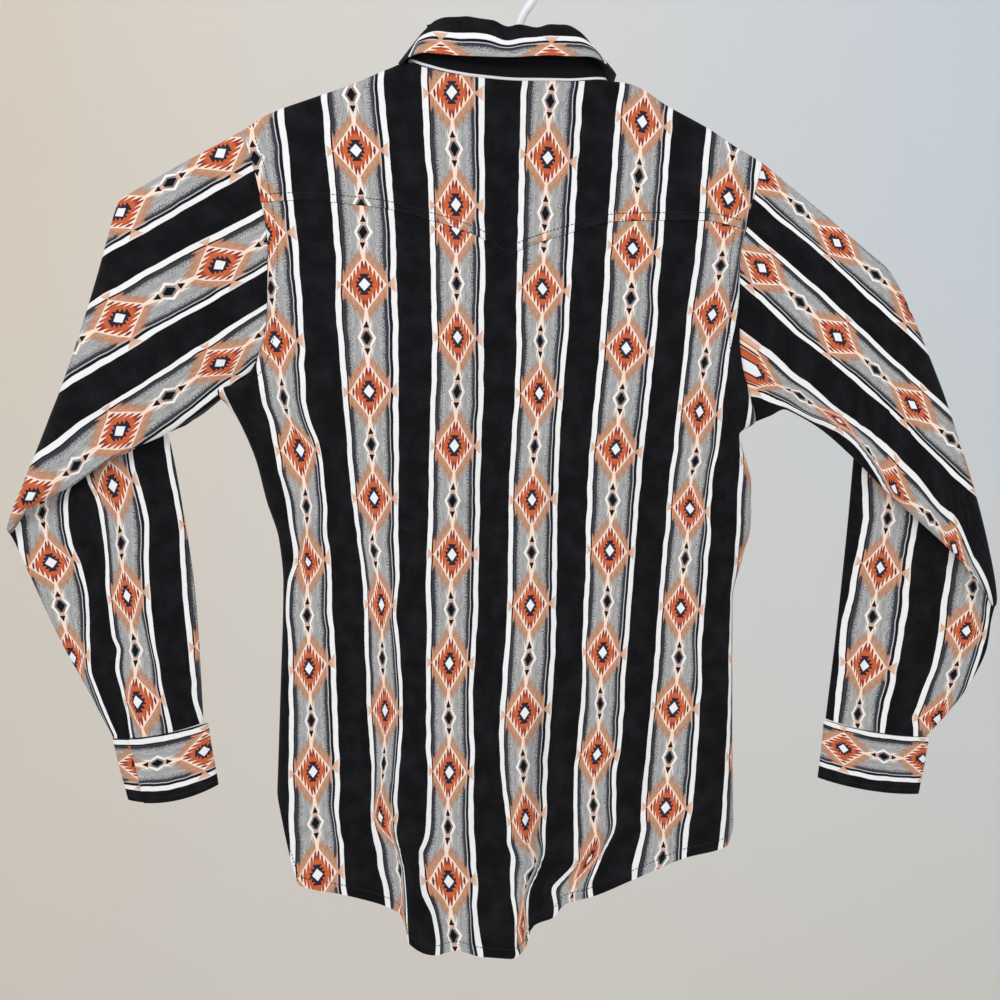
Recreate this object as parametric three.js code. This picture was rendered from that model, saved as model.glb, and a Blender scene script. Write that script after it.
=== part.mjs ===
// Western snap shirt on a tubular hanger, seen from its back.
// Millimetres, +Z up. The origin is the underside of the hook's top, where it rests on a rod.
// The back of the shirt faces -Y, its front faces +Y, the wearer's left is towards -X.

import * as THREE from "three";

// Cloth
const WALL = 1.5;
const SEAM_GAP = 0.3;
const BAND_WALL = 2;
const BAND_LIFT = 0.4;

// Side edges of the body, down from the shoulder points, through armhole and underarm to the hem
const LEFT_EDGE = {
  columns: ["z", "x"],
  rows: [
    [-170, -258],
    [-190, -249],
    [-229, -239],
    [-282, -231],
    [-349, -232],
    [-388, -242],
    [-407, -256],
    [-418, -284],
    [-428, -272],
    [-455, -255],
    [-483, -243],
    [-521, -233],
    [-559, -221],
    [-600, -217],
    [-711, -220],
    [-806, -223],
  ],
};
const RIGHT_EDGE = {
  columns: ["z", "x"],
  rows: [
    [-199, 239],
    [-219, 234],
    [-254, 225],
    [-300, 217],
    [-369, 217],
    [-395, 220],
    [-420, 227],
    [-446, 233],
    [-458, 218],
    [-483, 224],
    [-502, 229],
    [-540, 229],
    [-578, 220],
    [-616, 211],
    [-730, 211],
    [-830, 212],
  ],
};
// Straight lines that the middle of the body follows, whatever its edges do
const LEFT_LINE = { top: -236, bottom: -220 };
const RIGHT_LINE = { top: 219, bottom: 211 };
const LINE_TOP = -250;
const LINE_BOTTOM = -800;
const EDGE_PULL = 5;
const LEFT_SHOULDER = -170;
const RIGHT_SHOULDER = -199;
const LEFT_UNDERARM = -418;
const RIGHT_UNDERARM = -446;

// Half depth of the hanging body by height
const BODY_DEPTH = {
  columns: ["z", "depth"],
  rows: [
    [-100, 14],
    [-250, 20],
    [-350, 25],
    [-450, 27],
    [-650, 27],
    [-850, 25],
    [-950, 24],
  ],
};
const ARMHOLE_DEPTH = 9;
const EDGE_FULLNESS = 1.2;
const TOP_BLEND = 120;

// Shoulder line and back of the neck, left to right
const BACK_TOP = {
  columns: ["x", "z"],
  rows: [
    [-258, -170],
    [-229, -152],
    [-191, -138],
    [-153, -125],
    [-115, -109],
    [-101, -104],
    [-86, -109],
    [-62, -114],
    [-33, -118],
    [11, -121],
    [54, -121.5],
    [94, -121],
    [113, -124],
    [151, -146],
    [189, -167],
    [208, -180],
    [239, -199],
  ],
};
const FRONT_NECK = {
  columns: ["x", "z"],
  rows: [
    [-101, -104],
    [-95, -111],
    [-86, -128],
    [-68, -148],
    [-40, -161],
    [-3.5, -167],
    [33, -165],
    [62, -156],
    [80, -143],
    [88, -130],
    [94, -121],
  ],
};
const NECK_LEFT = -101;
const NECK_RIGHT = 94;
const NECK_DEPTH = 22;
const RIDGE_RADIUS = 9;

// Western yoke seam with its centre point, and the tail hem with the drop of each fold
const YOKE_SEAM = {
  columns: ["x", "z"],
  rows: [
    [-236, -238],
    [-205, -237],
    [-125, -244],
    [-77, -256],
    [-28, -273],
    [-5, -292],
    [7, -285],
    [50, -270],
    [104, -257],
    [180, -256],
    [224, -264],
  ],
};
const BACK_HEM = {
  columns: ["x", "z"],
  rows: [
    [-223, -799],
    [-207, -868],
    [-200, -886],
    [-157, -894],
    [-117, -906],
    [-102, -914],
    [-97, -938],
    [-71, -950],
    [-52, -946],
    [-27, -952],
    [0, -953],
    [13, -944],
    [20, -924],
    [40, -916],
    [50, -903],
    [80, -894],
    [118, -878],
    [165, -859],
    [205, -849],
    [212, -830],
  ],
};
const FRONT_HEM = {
  columns: ["x", "z"],
  rows: [
    [-223, -788],
    [-205, -850],
    [-150, -878],
    [-60, -900],
    [20, -898],
    [100, -866],
    [190, -838],
    [212, -818],
  ],
};

// Largest folds: a soft ridge where height is positive, a trough where it is negative
const BACK_FOLDS = {
  columns: ["x_top", "z_top", "x_bottom", "z_bottom", "width", "height"],
  rows: [
    [-98, -735, -88, -990, 24, 9],
    [-128, -690, -117, -980, 26, -8],
    [12, -640, 4, -990, 24, 7],
    [32, -700, 31, -980, 24, -9],
    [-15, -320, -22, -690, 32, -6],
    [55, -430, 45, -830, 28, -6],
    [100, -330, 86, -860, 38, 5],
    [-165, -370, -152, -780, 32, -6],
    [-120, -340, -132, -720, 36, 5],
    [150, -400, 140, -860, 30, -5],
    [-228, -470, -182, -556, 20, 5],
    [-64, -300, -62, -640, 36, 4],
  ],
};
const FRONT_FOLDS = {
  columns: ["x_top", "z_top", "x_bottom", "z_bottom", "width", "height"],
  rows: [
    [-150, -330, -160, -900, 42, -7],
    [-95, -380, -88, -950, 38, 6],
    [70, -300, 62, -760, 40, -6],
    [112, -420, 120, -940, 42, 7],
    [168, -480, 160, -900, 34, -5],
  ],
};

// Sleeve: a flat tube that folds back on itself at the elbow, the lower arm behind the upper
const SLEEVE_HALF_DEPTH = 8;
const ELBOW_RADIUS = 10;
const SLEEVE_GAP = 1.7;
const UNDERARM_GAP = 1.8;
const LEFT_SLEEVE = {
  side: -1,
  edge: LEFT_EDGE,
  shoulder: LEFT_SHOULDER,
  underarm: LEFT_UNDERARM,
  elbowTop: [-370.5, -234.6],
  elbowBottom: [-479, -552],
  elbowBow: -12,
  endBow: 4,
  under: {
    columns: ["along", "rise"],
    rows: [
      [0, 0],
      [0.23, -5],
      [0.52, 3],
      [0.7, 18],
      [0.86, 17],
      [0.95, 12],
      [1, 0],
    ],
  },
  lower: {
    columns: ["along", "inner_x", "inner_z", "outer_x", "outer_z"],
    rows: [
      [0, -370.5, -234.6, -479, -552],
      [0.3, -340, -400, -456, -602],
      [0.55, -318, -505, -431, -655],
      [0.8, -301, -620, -403, -706],
      [1, -294, -735, -380, -749],
    ],
  },
};
const RIGHT_SLEEVE = {
  side: 1,
  edge: RIGHT_EDGE,
  shoulder: RIGHT_SHOULDER,
  underarm: RIGHT_UNDERARM,
  elbowTop: [356, -300],
  elbowBottom: [461, -622],
  elbowBow: 10,
  endBow: 4,
  under: {
    columns: ["along", "rise"],
    rows: [
      [0, 0],
      [0.06, 16],
      [0.13, 34],
      [0.28, 40],
      [0.41, 36],
      [0.53, 29],
      [0.68, 24],
      [0.8, 20],
      [0.9, 12],
      [1, 0],
    ],
  },
  lower: {
    columns: ["along", "inner_x", "inner_z", "outer_x", "outer_z"],
    rows: [
      [0, 356, -300, 461, -622],
      [0.3, 331, -450, 456, -660],
      [0.55, 322, -545, 440, -695],
      [0.8, 312, -640, 420, -722],
      [1, 301, -731, 397, -747],
    ],
  },
};
const UPPER_ARM_ROWS = [0, 0.1, 0.25, 0.42, 0.6, 0.76, 0.88, 0.93, 0.965, 0.99, 1];
const LOWER_ARM_ROWS = [1.004, 1.015, 1.035, 1.06, 1.14, 1.28, 1.42, 1.56, 1.7, 1.85, 1.997];
const SLEEVE_AROUND = 20;

// Cuffs: a band whose end laps over its start, and its snaps on the side away from the back
const LEFT_CUFF = {
  name: "cuff_left",
  topInner: [-292, -734.4],
  topOuter: [-381, -749],
  bottomInner: [-282, -793],
  bottomOuter: [-366, -807],
  topBow: 4,
  bottomBow: 8,
  start: 1.3,
  snapTurn: 1.5 * Math.PI,
  side: -1,
};
const RIGHT_CUFF = {
  name: "cuff_right",
  topInner: [300, -731.2],
  topOuter: [398, -747],
  bottomInner: [294, -786],
  bottomOuter: [388, -801],
  topBow: 4,
  bottomBow: 4,
  start: 4.44,
  snapTurn: 3.5 * Math.PI,
  side: 1,
};
const CUFF_HALF_DEPTH = 8;
const CUFF_LAP = 0.9;
const CUFF_SWELL = 2.6;
const CUFF_AROUND = 24;
const CUFF_ROWS = 3;
const CUFF_SNAPS = 2;

// Collar: a stand that leans in, and a leaf that rolls over it and falls outside
const COLLAR_CENTRE = -3.5;
const STAND = {
  columns: ["half_width", "half_depth", "rise_back", "rise_side", "rise_front", "spread"],
  rows: [
    [95, 19.4, 0.9, 0.9, 2, 0.08],
    [86, 21, 17, 17, 14, 0.08],
    [76, 22, 34, 34, 28, 0.08],
  ],
};
const LEAF = {
  columns: ["half_width", "half_depth", "rise_back", "rise_side", "rise_front", "spread"],
  rows: [
    [76, 22, 34.5, 34.5, 28.5, 0.1],
    [73, 22.5, 45, 38, 33, 0.1],
    [71, 24.5, 54, 41, 37, 0.1],
    [74, 28.5, 56, 41, 38, 0.11],
    [80, 31.5, 53, 36, 34, 0.14],
    [92, 35.5, 39, 22, 2, 0.3],
    [104, 38, 24, 7, -38, 0.5],
  ],
};

// Placket with snaps, wearer's left over right
const PLACKET_HALF = 0.034;
const UNDERLAP_DROP = 2;
const SNAP_RADIUS = 5.5;
const SNAP_HEIGHT = 2.4;
const PLACKET_SNAPS = 7;
const FIRST_SNAP = -200;
const SNAP_STEP = 97;

// Hanger
const TUBE_RADIUS = 4.25;
const HANGER_LEFT = -206;
const HANGER_RIGHT = 208;
const ARM_DROP = 8.6;
const HANGER_TOP = [7, -74];
const HANGER_END_RADIUS = 13;
const HOOK_RADIUS = 25.6;

const FABRIC = { color: 0x26262c, roughness: 0.85, metalness: 0 };
const PLASTIC = { color: 0xe9ecef, roughness: 0.35, metalness: 0 };
const PEARL = { color: 0xe8e4dc, roughness: 0.25, metalness: 0.1 };

const shirt = new THREE.Group();
shirt.name = "western_snap_shirt";

function clamp(value, low, high) {
  return Math.min(high, Math.max(low, value));
}

function ease(low, high, value) {
  const k = clamp((value - low) / (high - low), 0, 1);
  return k * k * (3 - 2 * k);
}

function mix(a, b, k) {
  return a + (b - a) * k;
}

// Reads one column of a table at a key, on a smooth curve that never overshoots its rows
function read(table, column, key) {
  const at = table.columns.indexOf(column);
  const up = table.rows[0][0] < table.rows[1][0];
  const rows = up ? table.rows : [...table.rows].reverse();
  const last = rows.length - 1;
  if (key <= rows[0][0]) return rows[0][at];
  if (key >= rows[last][0]) return rows[last][at];
  let i = 0;
  while (rows[i + 1][0] < key) i += 1;
  const slope = (j) => (rows[j + 1][at] - rows[j][at]) / (rows[j + 1][0] - rows[j][0]);
  const tangent = (j) => {
    if (j === 0) return slope(0);
    if (j === last) return slope(last - 1);
    const before = slope(j - 1);
    const after = slope(j);
    return before * after <= 0 ? 0 : (2 * before * after) / (before + after);
  };
  const span = rows[i + 1][0] - rows[i][0];
  const k = (key - rows[i][0]) / span;
  const k2 = k * k;
  const k3 = k2 * k;
  const start = rows[i][at] * (2 * k3 - 3 * k2 + 1);
  const end = rows[i + 1][at] * (3 * k2 - 2 * k3);
  return start + end + span * (tangent(i) * (k3 - 2 * k2 + k) + tangent(i + 1) * (k3 - k2));
}

// How full a flattened tube is across its width: 0 on both edges, 1 in the middle
function fullness(across) {
  const s = Math.sin(Math.acos(clamp(1 - 2 * across, -1, 1)));
  return ((1 + EDGE_FULLNESS) * s) / (1 + EDGE_FULLNESS * s);
}

function foldHeight(folds, x, z) {
  let sum = 0;
  for (const [xTop, zTop, xBottom, zBottom, width, height] of folds.rows) {
    const along = (zTop - z) / (zTop - zBottom);
    const centre = mix(xTop, xBottom, along);
    const fade = ease(0, 0.25, along) * ease(1, 0.85, along);
    const side = (x - centre) / width;
    sum += height * fade * Math.exp(-side * side * 2);
  }
  return sum;
}

function armholeDepth(z, shoulder, underarm) {
  const down = (shoulder - z) / (shoulder - underarm);
  return down <= 0 || down >= 1 ? 0 : ARMHOLE_DEPTH * fullness(down);
}

function bodyTop(face, x) {
  const inNeck = x > NECK_LEFT && x < NECK_RIGHT;
  return face > 0 && inNeck ? read(FRONT_NECK, "z", x) : read(BACK_TOP, "z", x);
}

// Where a column of the body lies at a height: straight in the middle, on the edges at the sides
function bodyX(across, z) {
  const down = (z - LINE_TOP) / (LINE_BOTTOM - LINE_TOP);
  const left = mix(LEFT_LINE.top, LEFT_LINE.bottom, down);
  const right = mix(RIGHT_LINE.top, RIGHT_LINE.bottom, down);
  const leftPull = (read(LEFT_EDGE, "x", z) - left) * (1 - across) ** EDGE_PULL;
  const rightPull = (read(RIGHT_EDGE, "x", z) - right) * across ** EDGE_PULL;
  return mix(left, right, across) + leftPull + rightPull;
}

// A point of the body's outer surface: face -1 is the back, +1 the front
function bodyPoint(face, across, z) {
  const x = bodyX(across, z);
  const down = Math.max(0, bodyTop(face, x) - z);
  const neck = (x - COLLAR_CENTRE) / ((NECK_RIGHT - NECK_LEFT) / 2);
  const neckDepth = NECK_DEPTH * Math.sqrt(Math.max(0, 1 - neck * neck));
  const bend = Math.min(down, RIDGE_RADIUS);
  const ridge = Math.sqrt(RIDGE_RADIUS ** 2 - (RIDGE_RADIUS - bend) ** 2);
  const near = Math.hypot(neckDepth, ridge);
  const full = fullness(across);
  const leftDepth = armholeDepth(z, LEFT_SHOULDER, LEFT_UNDERARM);
  const rightDepth = armholeDepth(z, RIGHT_SHOULDER, RIGHT_UNDERARM);
  const edge = mix(leftDepth, rightDepth, across);
  const far = mix(edge, read(BODY_DEPTH, "depth", z), full);
  const folds = foldHeight(face < 0 ? BACK_FOLDS : FRONT_FOLDS, x, z) * full;
  const depth = mix(near, far, ease(0, TOP_BLEND, down)) + folds * ease(0, TOP_BLEND, down);
  return new THREE.Vector3(x, face * (SEAM_GAP / 2 + depth), z);
}

// Outward direction of the body's surface
function bodyNormal(face, across, z) {
  const step = 0.003;
  const a = bodyPoint(face, clamp(across - step, 0, 1), z);
  const b = bodyPoint(face, clamp(across + step, 0, 1), z);
  const c = bodyPoint(face, across, z - 1);
  const d = bodyPoint(face, across, z + 1);
  const normal = b.sub(a).cross(d.sub(c)).normalize();
  return normal.multiplyScalar(normal.y * face < 0 ? -1 : 1);
}

function addMesh(name, geometry, look) {
  const mesh = new THREE.Mesh(geometry, new THREE.MeshStandardMaterial(look));
  mesh.name = name;
  shirt.add(mesh);
  return mesh;
}

// A closed wall between an outer and an inner grid of points; "around" joins the last column
// to the first, and "flip" turns the faces
function wallGeometry(outer, inner, around, flip) {
  const rows = outer.length;
  const columns = outer[0].length;
  const points = [...outer.flat(), ...inner.flat()];
  const inside = rows * columns;
  const faces = [];
  const quad = (a, b, c, d) => {
    if (flip) faces.push(a, c, b, a, d, c);
    else faces.push(a, b, c, a, c, d);
  };
  const steps = around ? columns : columns - 1;
  for (let j = 0; j < rows - 1; j += 1) {
    for (let i = 0; i < steps; i += 1) {
      const a = j * columns + i;
      const b = j * columns + ((i + 1) % columns);
      quad(a, a + columns, b + columns, b);
      quad(a + inside, b + inside, b + columns + inside, a + columns + inside);
    }
  }
  for (let i = 0; i < steps; i += 1) {
    const a = i;
    const b = (i + 1) % columns;
    const last = (rows - 1) * columns;
    quad(a, b, b + inside, a + inside);
    quad(a + last, a + last + inside, b + last + inside, b + last);
  }
  for (let j = 0; j < rows - 1 && !around; j += 1) {
    const a = j * columns;
    const z = a + columns - 1;
    quad(a, a + inside, a + columns + inside, a + columns);
    quad(z, z + columns, z + columns + inside, z + inside);
  }
  const geometry = new THREE.BufferGeometry();
  const numbers = points.flatMap((point) => [point.x, point.y, point.z]);
  geometry.setAttribute("position", new THREE.Float32BufferAttribute(numbers, 3));
  geometry.setIndex(faces);
  geometry.computeVertexNormals();
  return geometry;
}

// Height on the body where its own table meets the column, by stepping towards it
function heightOn(table, across, start) {
  let z = start;
  for (let i = 0; i < 12; i += 1) {
    z = mix(z, read(table, "z", bodyX(across, z)), 0.7);
  }
  return z;
}

function topOn(face, across) {
  let z = -150;
  for (let i = 0; i < 12; i += 1) {
    z = mix(z, bodyTop(face, bodyX(across, z)), 0.7);
  }
  return z;
}

// A panel of the body between two heights, which may differ from column to column
function bodyPanel(name, face, columns, rows, topAt, bottomAt, lift, wall) {
  const outer = [];
  const inner = [];
  for (const down of rows) {
    const outerRow = [];
    const innerRow = [];
    for (const across of columns) {
      const z = mix(topAt(across), bottomAt(across), down);
      const normal = bodyNormal(face, across, z);
      const raise = lift(across);
      const point = bodyPoint(face, across, z).addScaledVector(normal, raise + wall);
      const under = point.clone().addScaledVector(normal, -wall);
      point.y = face * Math.max(face * point.y, SEAM_GAP / 2);
      under.y = face * Math.max(face * under.y, SEAM_GAP / 2);
      outerRow.push(point);
      innerRow.push(under);
    }
    outer.push(outerRow);
    inner.push(innerRow);
  }
  addMesh(name, wallGeometry(outer, inner, false, face > 0), FABRIC);
}

// Columns from one side to the other, closer together near the side seams
function columnsBetween(from, to, count) {
  const list = [];
  for (let i = 0; i <= count; i += 1) {
    const k = mix(from, to, i / count);
    list.push(0.5 * k + 0.25 * (1 - Math.cos(Math.PI * k)));
  }
  return list;
}

// Rows as parts of a panel's height, closest under the shoulder ridge and at the underarm
const SKIRT_ROWS = [0.5, 0.6, 0.7, 0.8, 0.9, 1];
const BACK_ROWS = [0, 0.05, 0.1, 0.15, 0.2, 0.24, 0.27, 0.295, 0.3207, 0.34, 0.37, 0.42, ...SKIRT_ROWS];
const YOKE_ROWS = [0, 0.016, 0.04, 0.07, 0.13, 0.32, 0.64, 1];
const RIDGE_ROWS = [0, 0.0025, 0.006, 0.011, 0.02, 0.05];
const CHEST_ROWS = [0.11, 0.18, 0.25, 0.31, 0.35, 0.378, 0.4, 0.43];
const FRONT_ROWS = [...RIDGE_ROWS, ...CHEST_ROWS, ...SKIRT_ROWS];
const onTheSkin = () => -WALL;
const halfGap = SEAM_GAP / 2;

bodyPanel(
  "back",
  -1,
  columnsBetween(0, 1, 28),
  BACK_ROWS,
  (across) => heightOn(YOKE_SEAM, across, -250) - halfGap,
  (across) => heightOn(BACK_HEM, across, -850),
  onTheSkin,
  WALL,
);
bodyPanel(
  "back_yoke",
  -1,
  columnsBetween(0, 1, 28),
  YOKE_ROWS,
  (across) => topOn(-1, across),
  (across) => heightOn(YOKE_SEAM, across, -250) + halfGap,
  onTheSkin,
  WALL,
);
bodyPanel(
  "front_left",
  1,
  columnsBetween(0, 0.5 + PLACKET_HALF, 14),
  FRONT_ROWS,
  (across) => topOn(1, across),
  (across) => heightOn(FRONT_HEM, across, -850),
  onTheSkin,
  WALL,
);
bodyPanel(
  "front_right",
  1,
  columnsBetween(0.5 - PLACKET_HALF, 1, 14),
  FRONT_ROWS,
  (across) => topOn(1, across),
  (across) => heightOn(FRONT_HEM, across, -850),
  (across) => -WALL - UNDERLAP_DROP * ease(0.5 + 4 * PLACKET_HALF, 0.5 + 1.5 * PLACKET_HALF, across),
  WALL,
);
bodyPanel(
  "placket",
  1,
  [0.5 - PLACKET_HALF, 0.5, 0.5 + PLACKET_HALF],
  FRONT_ROWS,
  (across) => topOn(1, across),
  (across) => heightOn(FRONT_HEM, across, -850),
  () => BAND_LIFT,
  WALL,
);

// Middle of the flat sleeve tube: "along" runs 0 to 1 down the upper arm and 1 to 2 down the
// lower arm, "across" runs 0 to 1 from the shoulder edge to the underarm edge
function sleeveMiddle(sleeve, along, across) {
  const foldAt = (k) => {
    const bow = 4 * k * (1 - k) * sleeve.elbowBow * sleeve.side;
    const x = mix(sleeve.elbowTop[0], sleeve.elbowBottom[0], k) + bow;
    return [x, mix(sleeve.elbowTop[1], sleeve.elbowBottom[1], k)];
  };
  const [foldX, foldZ] = foldAt(across);
  let x;
  let z;
  if (along <= 1) {
    const startZ = mix(sleeve.shoulder, sleeve.underarm, across);
    const gap = SLEEVE_GAP + UNDERARM_GAP * ease(0.7, 1, across);
    const startX = read(sleeve.edge, "x", startZ) + gap * sleeve.side;
    x = mix(startX, foldX, along);
    z = mix(startZ + gap * 0.5 * across, foldZ, along);
    z += read(sleeve.under, "rise", along) * across * across;
  } else {
    const down = along - 1;
    const stay = (1 - down) ** 2;
    const bowX = foldX - mix(sleeve.elbowTop[0], sleeve.elbowBottom[0], across);
    x = mix(read(sleeve.lower, "inner_x", down), read(sleeve.lower, "outer_x", down), across);
    z = mix(read(sleeve.lower, "inner_z", down), read(sleeve.lower, "outer_z", down), across);
    x += bowX * stay;
    z -= sleeve.endBow * 4 * across * (1 - across) * down * down;
  }
  const lineX = sleeve.elbowBottom[0] - sleeve.elbowTop[0];
  const lineZ = sleeve.elbowBottom[1] - sleeve.elbowTop[1];
  const length = Math.hypot(lineX, lineZ);
  const fromFold = Math.abs((x - foldX) * lineZ - (z - foldZ) * lineX) / length;
  const near = 1 - Math.min(fromFold / ELBOW_RADIUS, 1);
  const turn = ELBOW_RADIUS * Math.sqrt(1 - near * near);
  const y = along <= 1 ? -turn * ease(0, 0.55, along) : turn;
  return new THREE.Vector3(x, y, z);
}

function sleeveNormal(sleeve, along, across) {
  const step = 0.004;
  const a = sleeveMiddle(sleeve, Math.max(0, along - step), across);
  const b = sleeveMiddle(sleeve, Math.min(2, along + step), across);
  const c = sleeveMiddle(sleeve, along, clamp(across - step, 0, 1));
  const d = sleeveMiddle(sleeve, along, clamp(across + step, 0, 1));
  return b.sub(a).cross(d.sub(c)).normalize().multiplyScalar(-sleeve.side);
}

// A point of the sleeve's ring: turn 0 is the shoulder edge, a half turn the underarm edge
function sleevePoint(sleeve, along, turn, inset) {
  const across = (1 - Math.cos(turn)) / 2;
  const layer = Math.sin(turn) >= 0 ? 1 : -1;
  const startZ = mix(sleeve.shoulder, sleeve.underarm, across);
  const side = sleeve.side < 0 ? 0 : 1;
  const atBody = Math.abs(bodyPoint(-layer, side, startZ).y);
  const own = SLEEVE_HALF_DEPTH * fullness(across);
  const depth = mix(atBody, own, ease(0, 0.3, along));
  const width = sleeveMiddle(sleeve, along, 0).distanceTo(sleeveMiddle(sleeve, along, 1));
  const kept = 0.5 + (across - 0.5) * (1 - (2 * inset) / width);
  const middle = sleeveMiddle(sleeve, along, kept);
  const offset = layer * depth * (1 - inset / SLEEVE_HALF_DEPTH);
  return middle.addScaledVector(sleeveNormal(sleeve, along, kept), offset);
}

function sleeveRing(sleeve, along, inset) {
  const ring = [];
  for (let i = 0; i < SLEEVE_AROUND; i += 1) {
    ring.push(sleevePoint(sleeve, along, (2 * Math.PI * i) / SLEEVE_AROUND, inset));
  }
  return ring;
}

for (const [name, sleeve] of [["sleeve_left", LEFT_SLEEVE], ["sleeve_right", RIGHT_SLEEVE]]) {
  const rows = [...UPPER_ARM_ROWS, ...LOWER_ARM_ROWS];
  const outer = rows.map((along) => sleeveRing(sleeve, along, 0));
  const inner = rows.map((along) => sleeveRing(sleeve, along, WALL));
  addMesh(name, wallGeometry(outer, inner, true, sleeve.side > 0), FABRIC);
}

// Cuff band: a flat coil of a little over one turn, set behind the body like the lower arm
function cuffPoint(cuff, down, turn, inset) {
  const across = (1 - Math.cos(turn)) / 2;
  const innerX = mix(cuff.topInner[0], cuff.bottomInner[0], down);
  const innerZ = mix(cuff.topInner[1], cuff.bottomInner[1], down);
  const outerX = mix(cuff.topOuter[0], cuff.bottomOuter[0], down);
  const outerZ = mix(cuff.topOuter[1], cuff.bottomOuter[1], down);
  const wound = (turn - cuff.start) / (2 * Math.PI);
  const swell = -inset + CUFF_SWELL * ease(0.05, 1, wound);
  const width = Math.hypot(outerX - innerX, outerZ - innerZ);
  const kept = 0.5 + (across - 0.5) * (1 + (2 * swell) / width);
  const sine = Math.sin(turn);
  const depth = Math.sign(sine) * (CUFF_HALF_DEPTH + swell) * fullness(across);
  const bow = 4 * across * (1 - across) * mix(cuff.topBow, cuff.bottomBow, down);
  const z = mix(innerZ, outerZ, kept) - bow;
  return new THREE.Vector3(mix(innerX, outerX, kept), ELBOW_RADIUS - depth, z);
}

for (const cuff of [LEFT_CUFF, RIGHT_CUFF]) {
  const grid = (inset) => {
    const rows = [];
    for (let j = 0; j < CUFF_ROWS; j += 1) {
      const row = [];
      for (let i = 0; i <= CUFF_AROUND; i += 1) {
        const turn = cuff.start + ((2 * Math.PI + CUFF_LAP) * i) / CUFF_AROUND;
        row.push(cuffPoint(cuff, j / (CUFF_ROWS - 1), turn, inset));
      }
      rows.push(row);
    }
    return rows;
  };
  addMesh(cuff.name, wallGeometry(grid(0), grid(BAND_WALL), false, cuff.side < 0), FABRIC);
}

// Point on the collar's ring: angle 0 is the middle of the back, a half turn the front opening
function collarPoint(angle, halfWidth, halfDepth, rise) {
  const x = COLLAR_CENTRE + halfWidth * Math.sin(angle);
  const y = -halfDepth * Math.cos(angle);
  const seamX = COLLAR_CENTRE + ((NECK_RIGHT - NECK_LEFT) / 2) * Math.sin(angle);
  const seam = Math.cos(angle) > 0 ? read(BACK_TOP, "z", seamX) : read(FRONT_NECK, "z", seamX);
  return new THREE.Vector3(x, y, seam + rise);
}

function collarGeometry(table, columns, wall) {
  const last = table.rows.length - 1;
  const outer = [];
  for (const [halfWidth, halfDepth, riseBack, riseSide, riseFront, spread] of table.rows) {
    const ring = [];
    const end = Math.PI - spread;
    for (let i = 0; i <= columns; i += 1) {
      const angle = mix(-end, end, i / columns);
      const front = ease(Math.PI * 0.5, end, Math.abs(angle));
      const atBack = ease(Math.PI * 0.5, Math.PI * 0.25, Math.abs(angle));
      const rise = mix(mix(riseSide, riseBack, atBack), riseFront, front);
      ring.push(collarPoint(angle, halfWidth, halfDepth, rise));
    }
    outer.push(ring);
  }
  const inner = outer.map((ring, j) =>
    ring.map((point, i) => {
      const next = outer[Math.min(j + 1, last)][i].clone().sub(outer[Math.max(j - 1, 0)][i]);
      const beside = ring[Math.min(i + 1, columns)].clone().sub(ring[Math.max(i - 1, 0)]);
      return point.clone().addScaledVector(next.cross(beside).normalize(), wall);
    }),
  );
  return wallGeometry(outer, inner, false, wall > 0);
}

addMesh("collar_stand", collarGeometry(STAND, 28, WALL), FABRIC);
addMesh("collar_leaf", collarGeometry(LEAF, 28, -WALL), FABRIC);

// Snap caps: shallow domes turned on a lathe
function snapCap(name, place, outward) {
  const profile = [
    new THREE.Vector2(0, 0),
    new THREE.Vector2(SNAP_RADIUS, 0),
    new THREE.Vector2(SNAP_RADIUS, SNAP_HEIGHT * 0.4),
    new THREE.Vector2(SNAP_RADIUS * 0.6, SNAP_HEIGHT),
    new THREE.Vector2(0, SNAP_HEIGHT),
  ];
  const mesh = addMesh(name, new THREE.LatheGeometry(profile, 10), PEARL);
  mesh.position.copy(place);
  mesh.quaternion.setFromUnitVectors(new THREE.Vector3(0, 1, 0), outward);
}

for (let i = 0; i < PLACKET_SNAPS; i += 1) {
  const z = FIRST_SNAP - SNAP_STEP * i;
  const normal = bodyNormal(1, 0.5, z);
  const lift = BAND_LIFT + WALL + 0.9;
  snapCap(`placket_snap_${i + 1}`, bodyPoint(1, 0.5, z).addScaledVector(normal, lift), normal);
}

for (const cuff of [LEFT_CUFF, RIGHT_CUFF]) {
  for (let i = 0; i < CUFF_SNAPS; i += 1) {
    const down = (i + 0.5) / CUFF_SNAPS;
    const place = cuffPoint(cuff, down, cuff.snapTurn, 0);
    place.y += 0.4;
    snapCap(`${cuff.name}_snap_${i + 1}`, place, new THREE.Vector3(0, 1, 0));
  }
}

// A round bar along a path
function barAlong(name, path, steps) {
  const section = new THREE.Shape();
  for (let i = 0; i < 8; i += 1) {
    const angle = (Math.PI * (2 * i + 1)) / 8;
    const reach = TUBE_RADIUS / Math.cos(Math.PI / 8);
    if (i === 0) section.moveTo(reach * Math.cos(angle), reach * Math.sin(angle));
    else section.lineTo(reach * Math.cos(angle), reach * Math.sin(angle));
  }
  section.closePath();
  const geometry = new THREE.ExtrudeGeometry(section, { steps, extrudePath: path, bevelEnabled: false });
  addMesh(name, geometry, PLASTIC);
}

// Each arm of the hanger lies under the shoulder cloth, then turns into the lower bar
function armPoint(x) {
  return new THREE.Vector3(x, 0, read(BACK_TOP, "z", x) - ARM_DROP);
}

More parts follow.
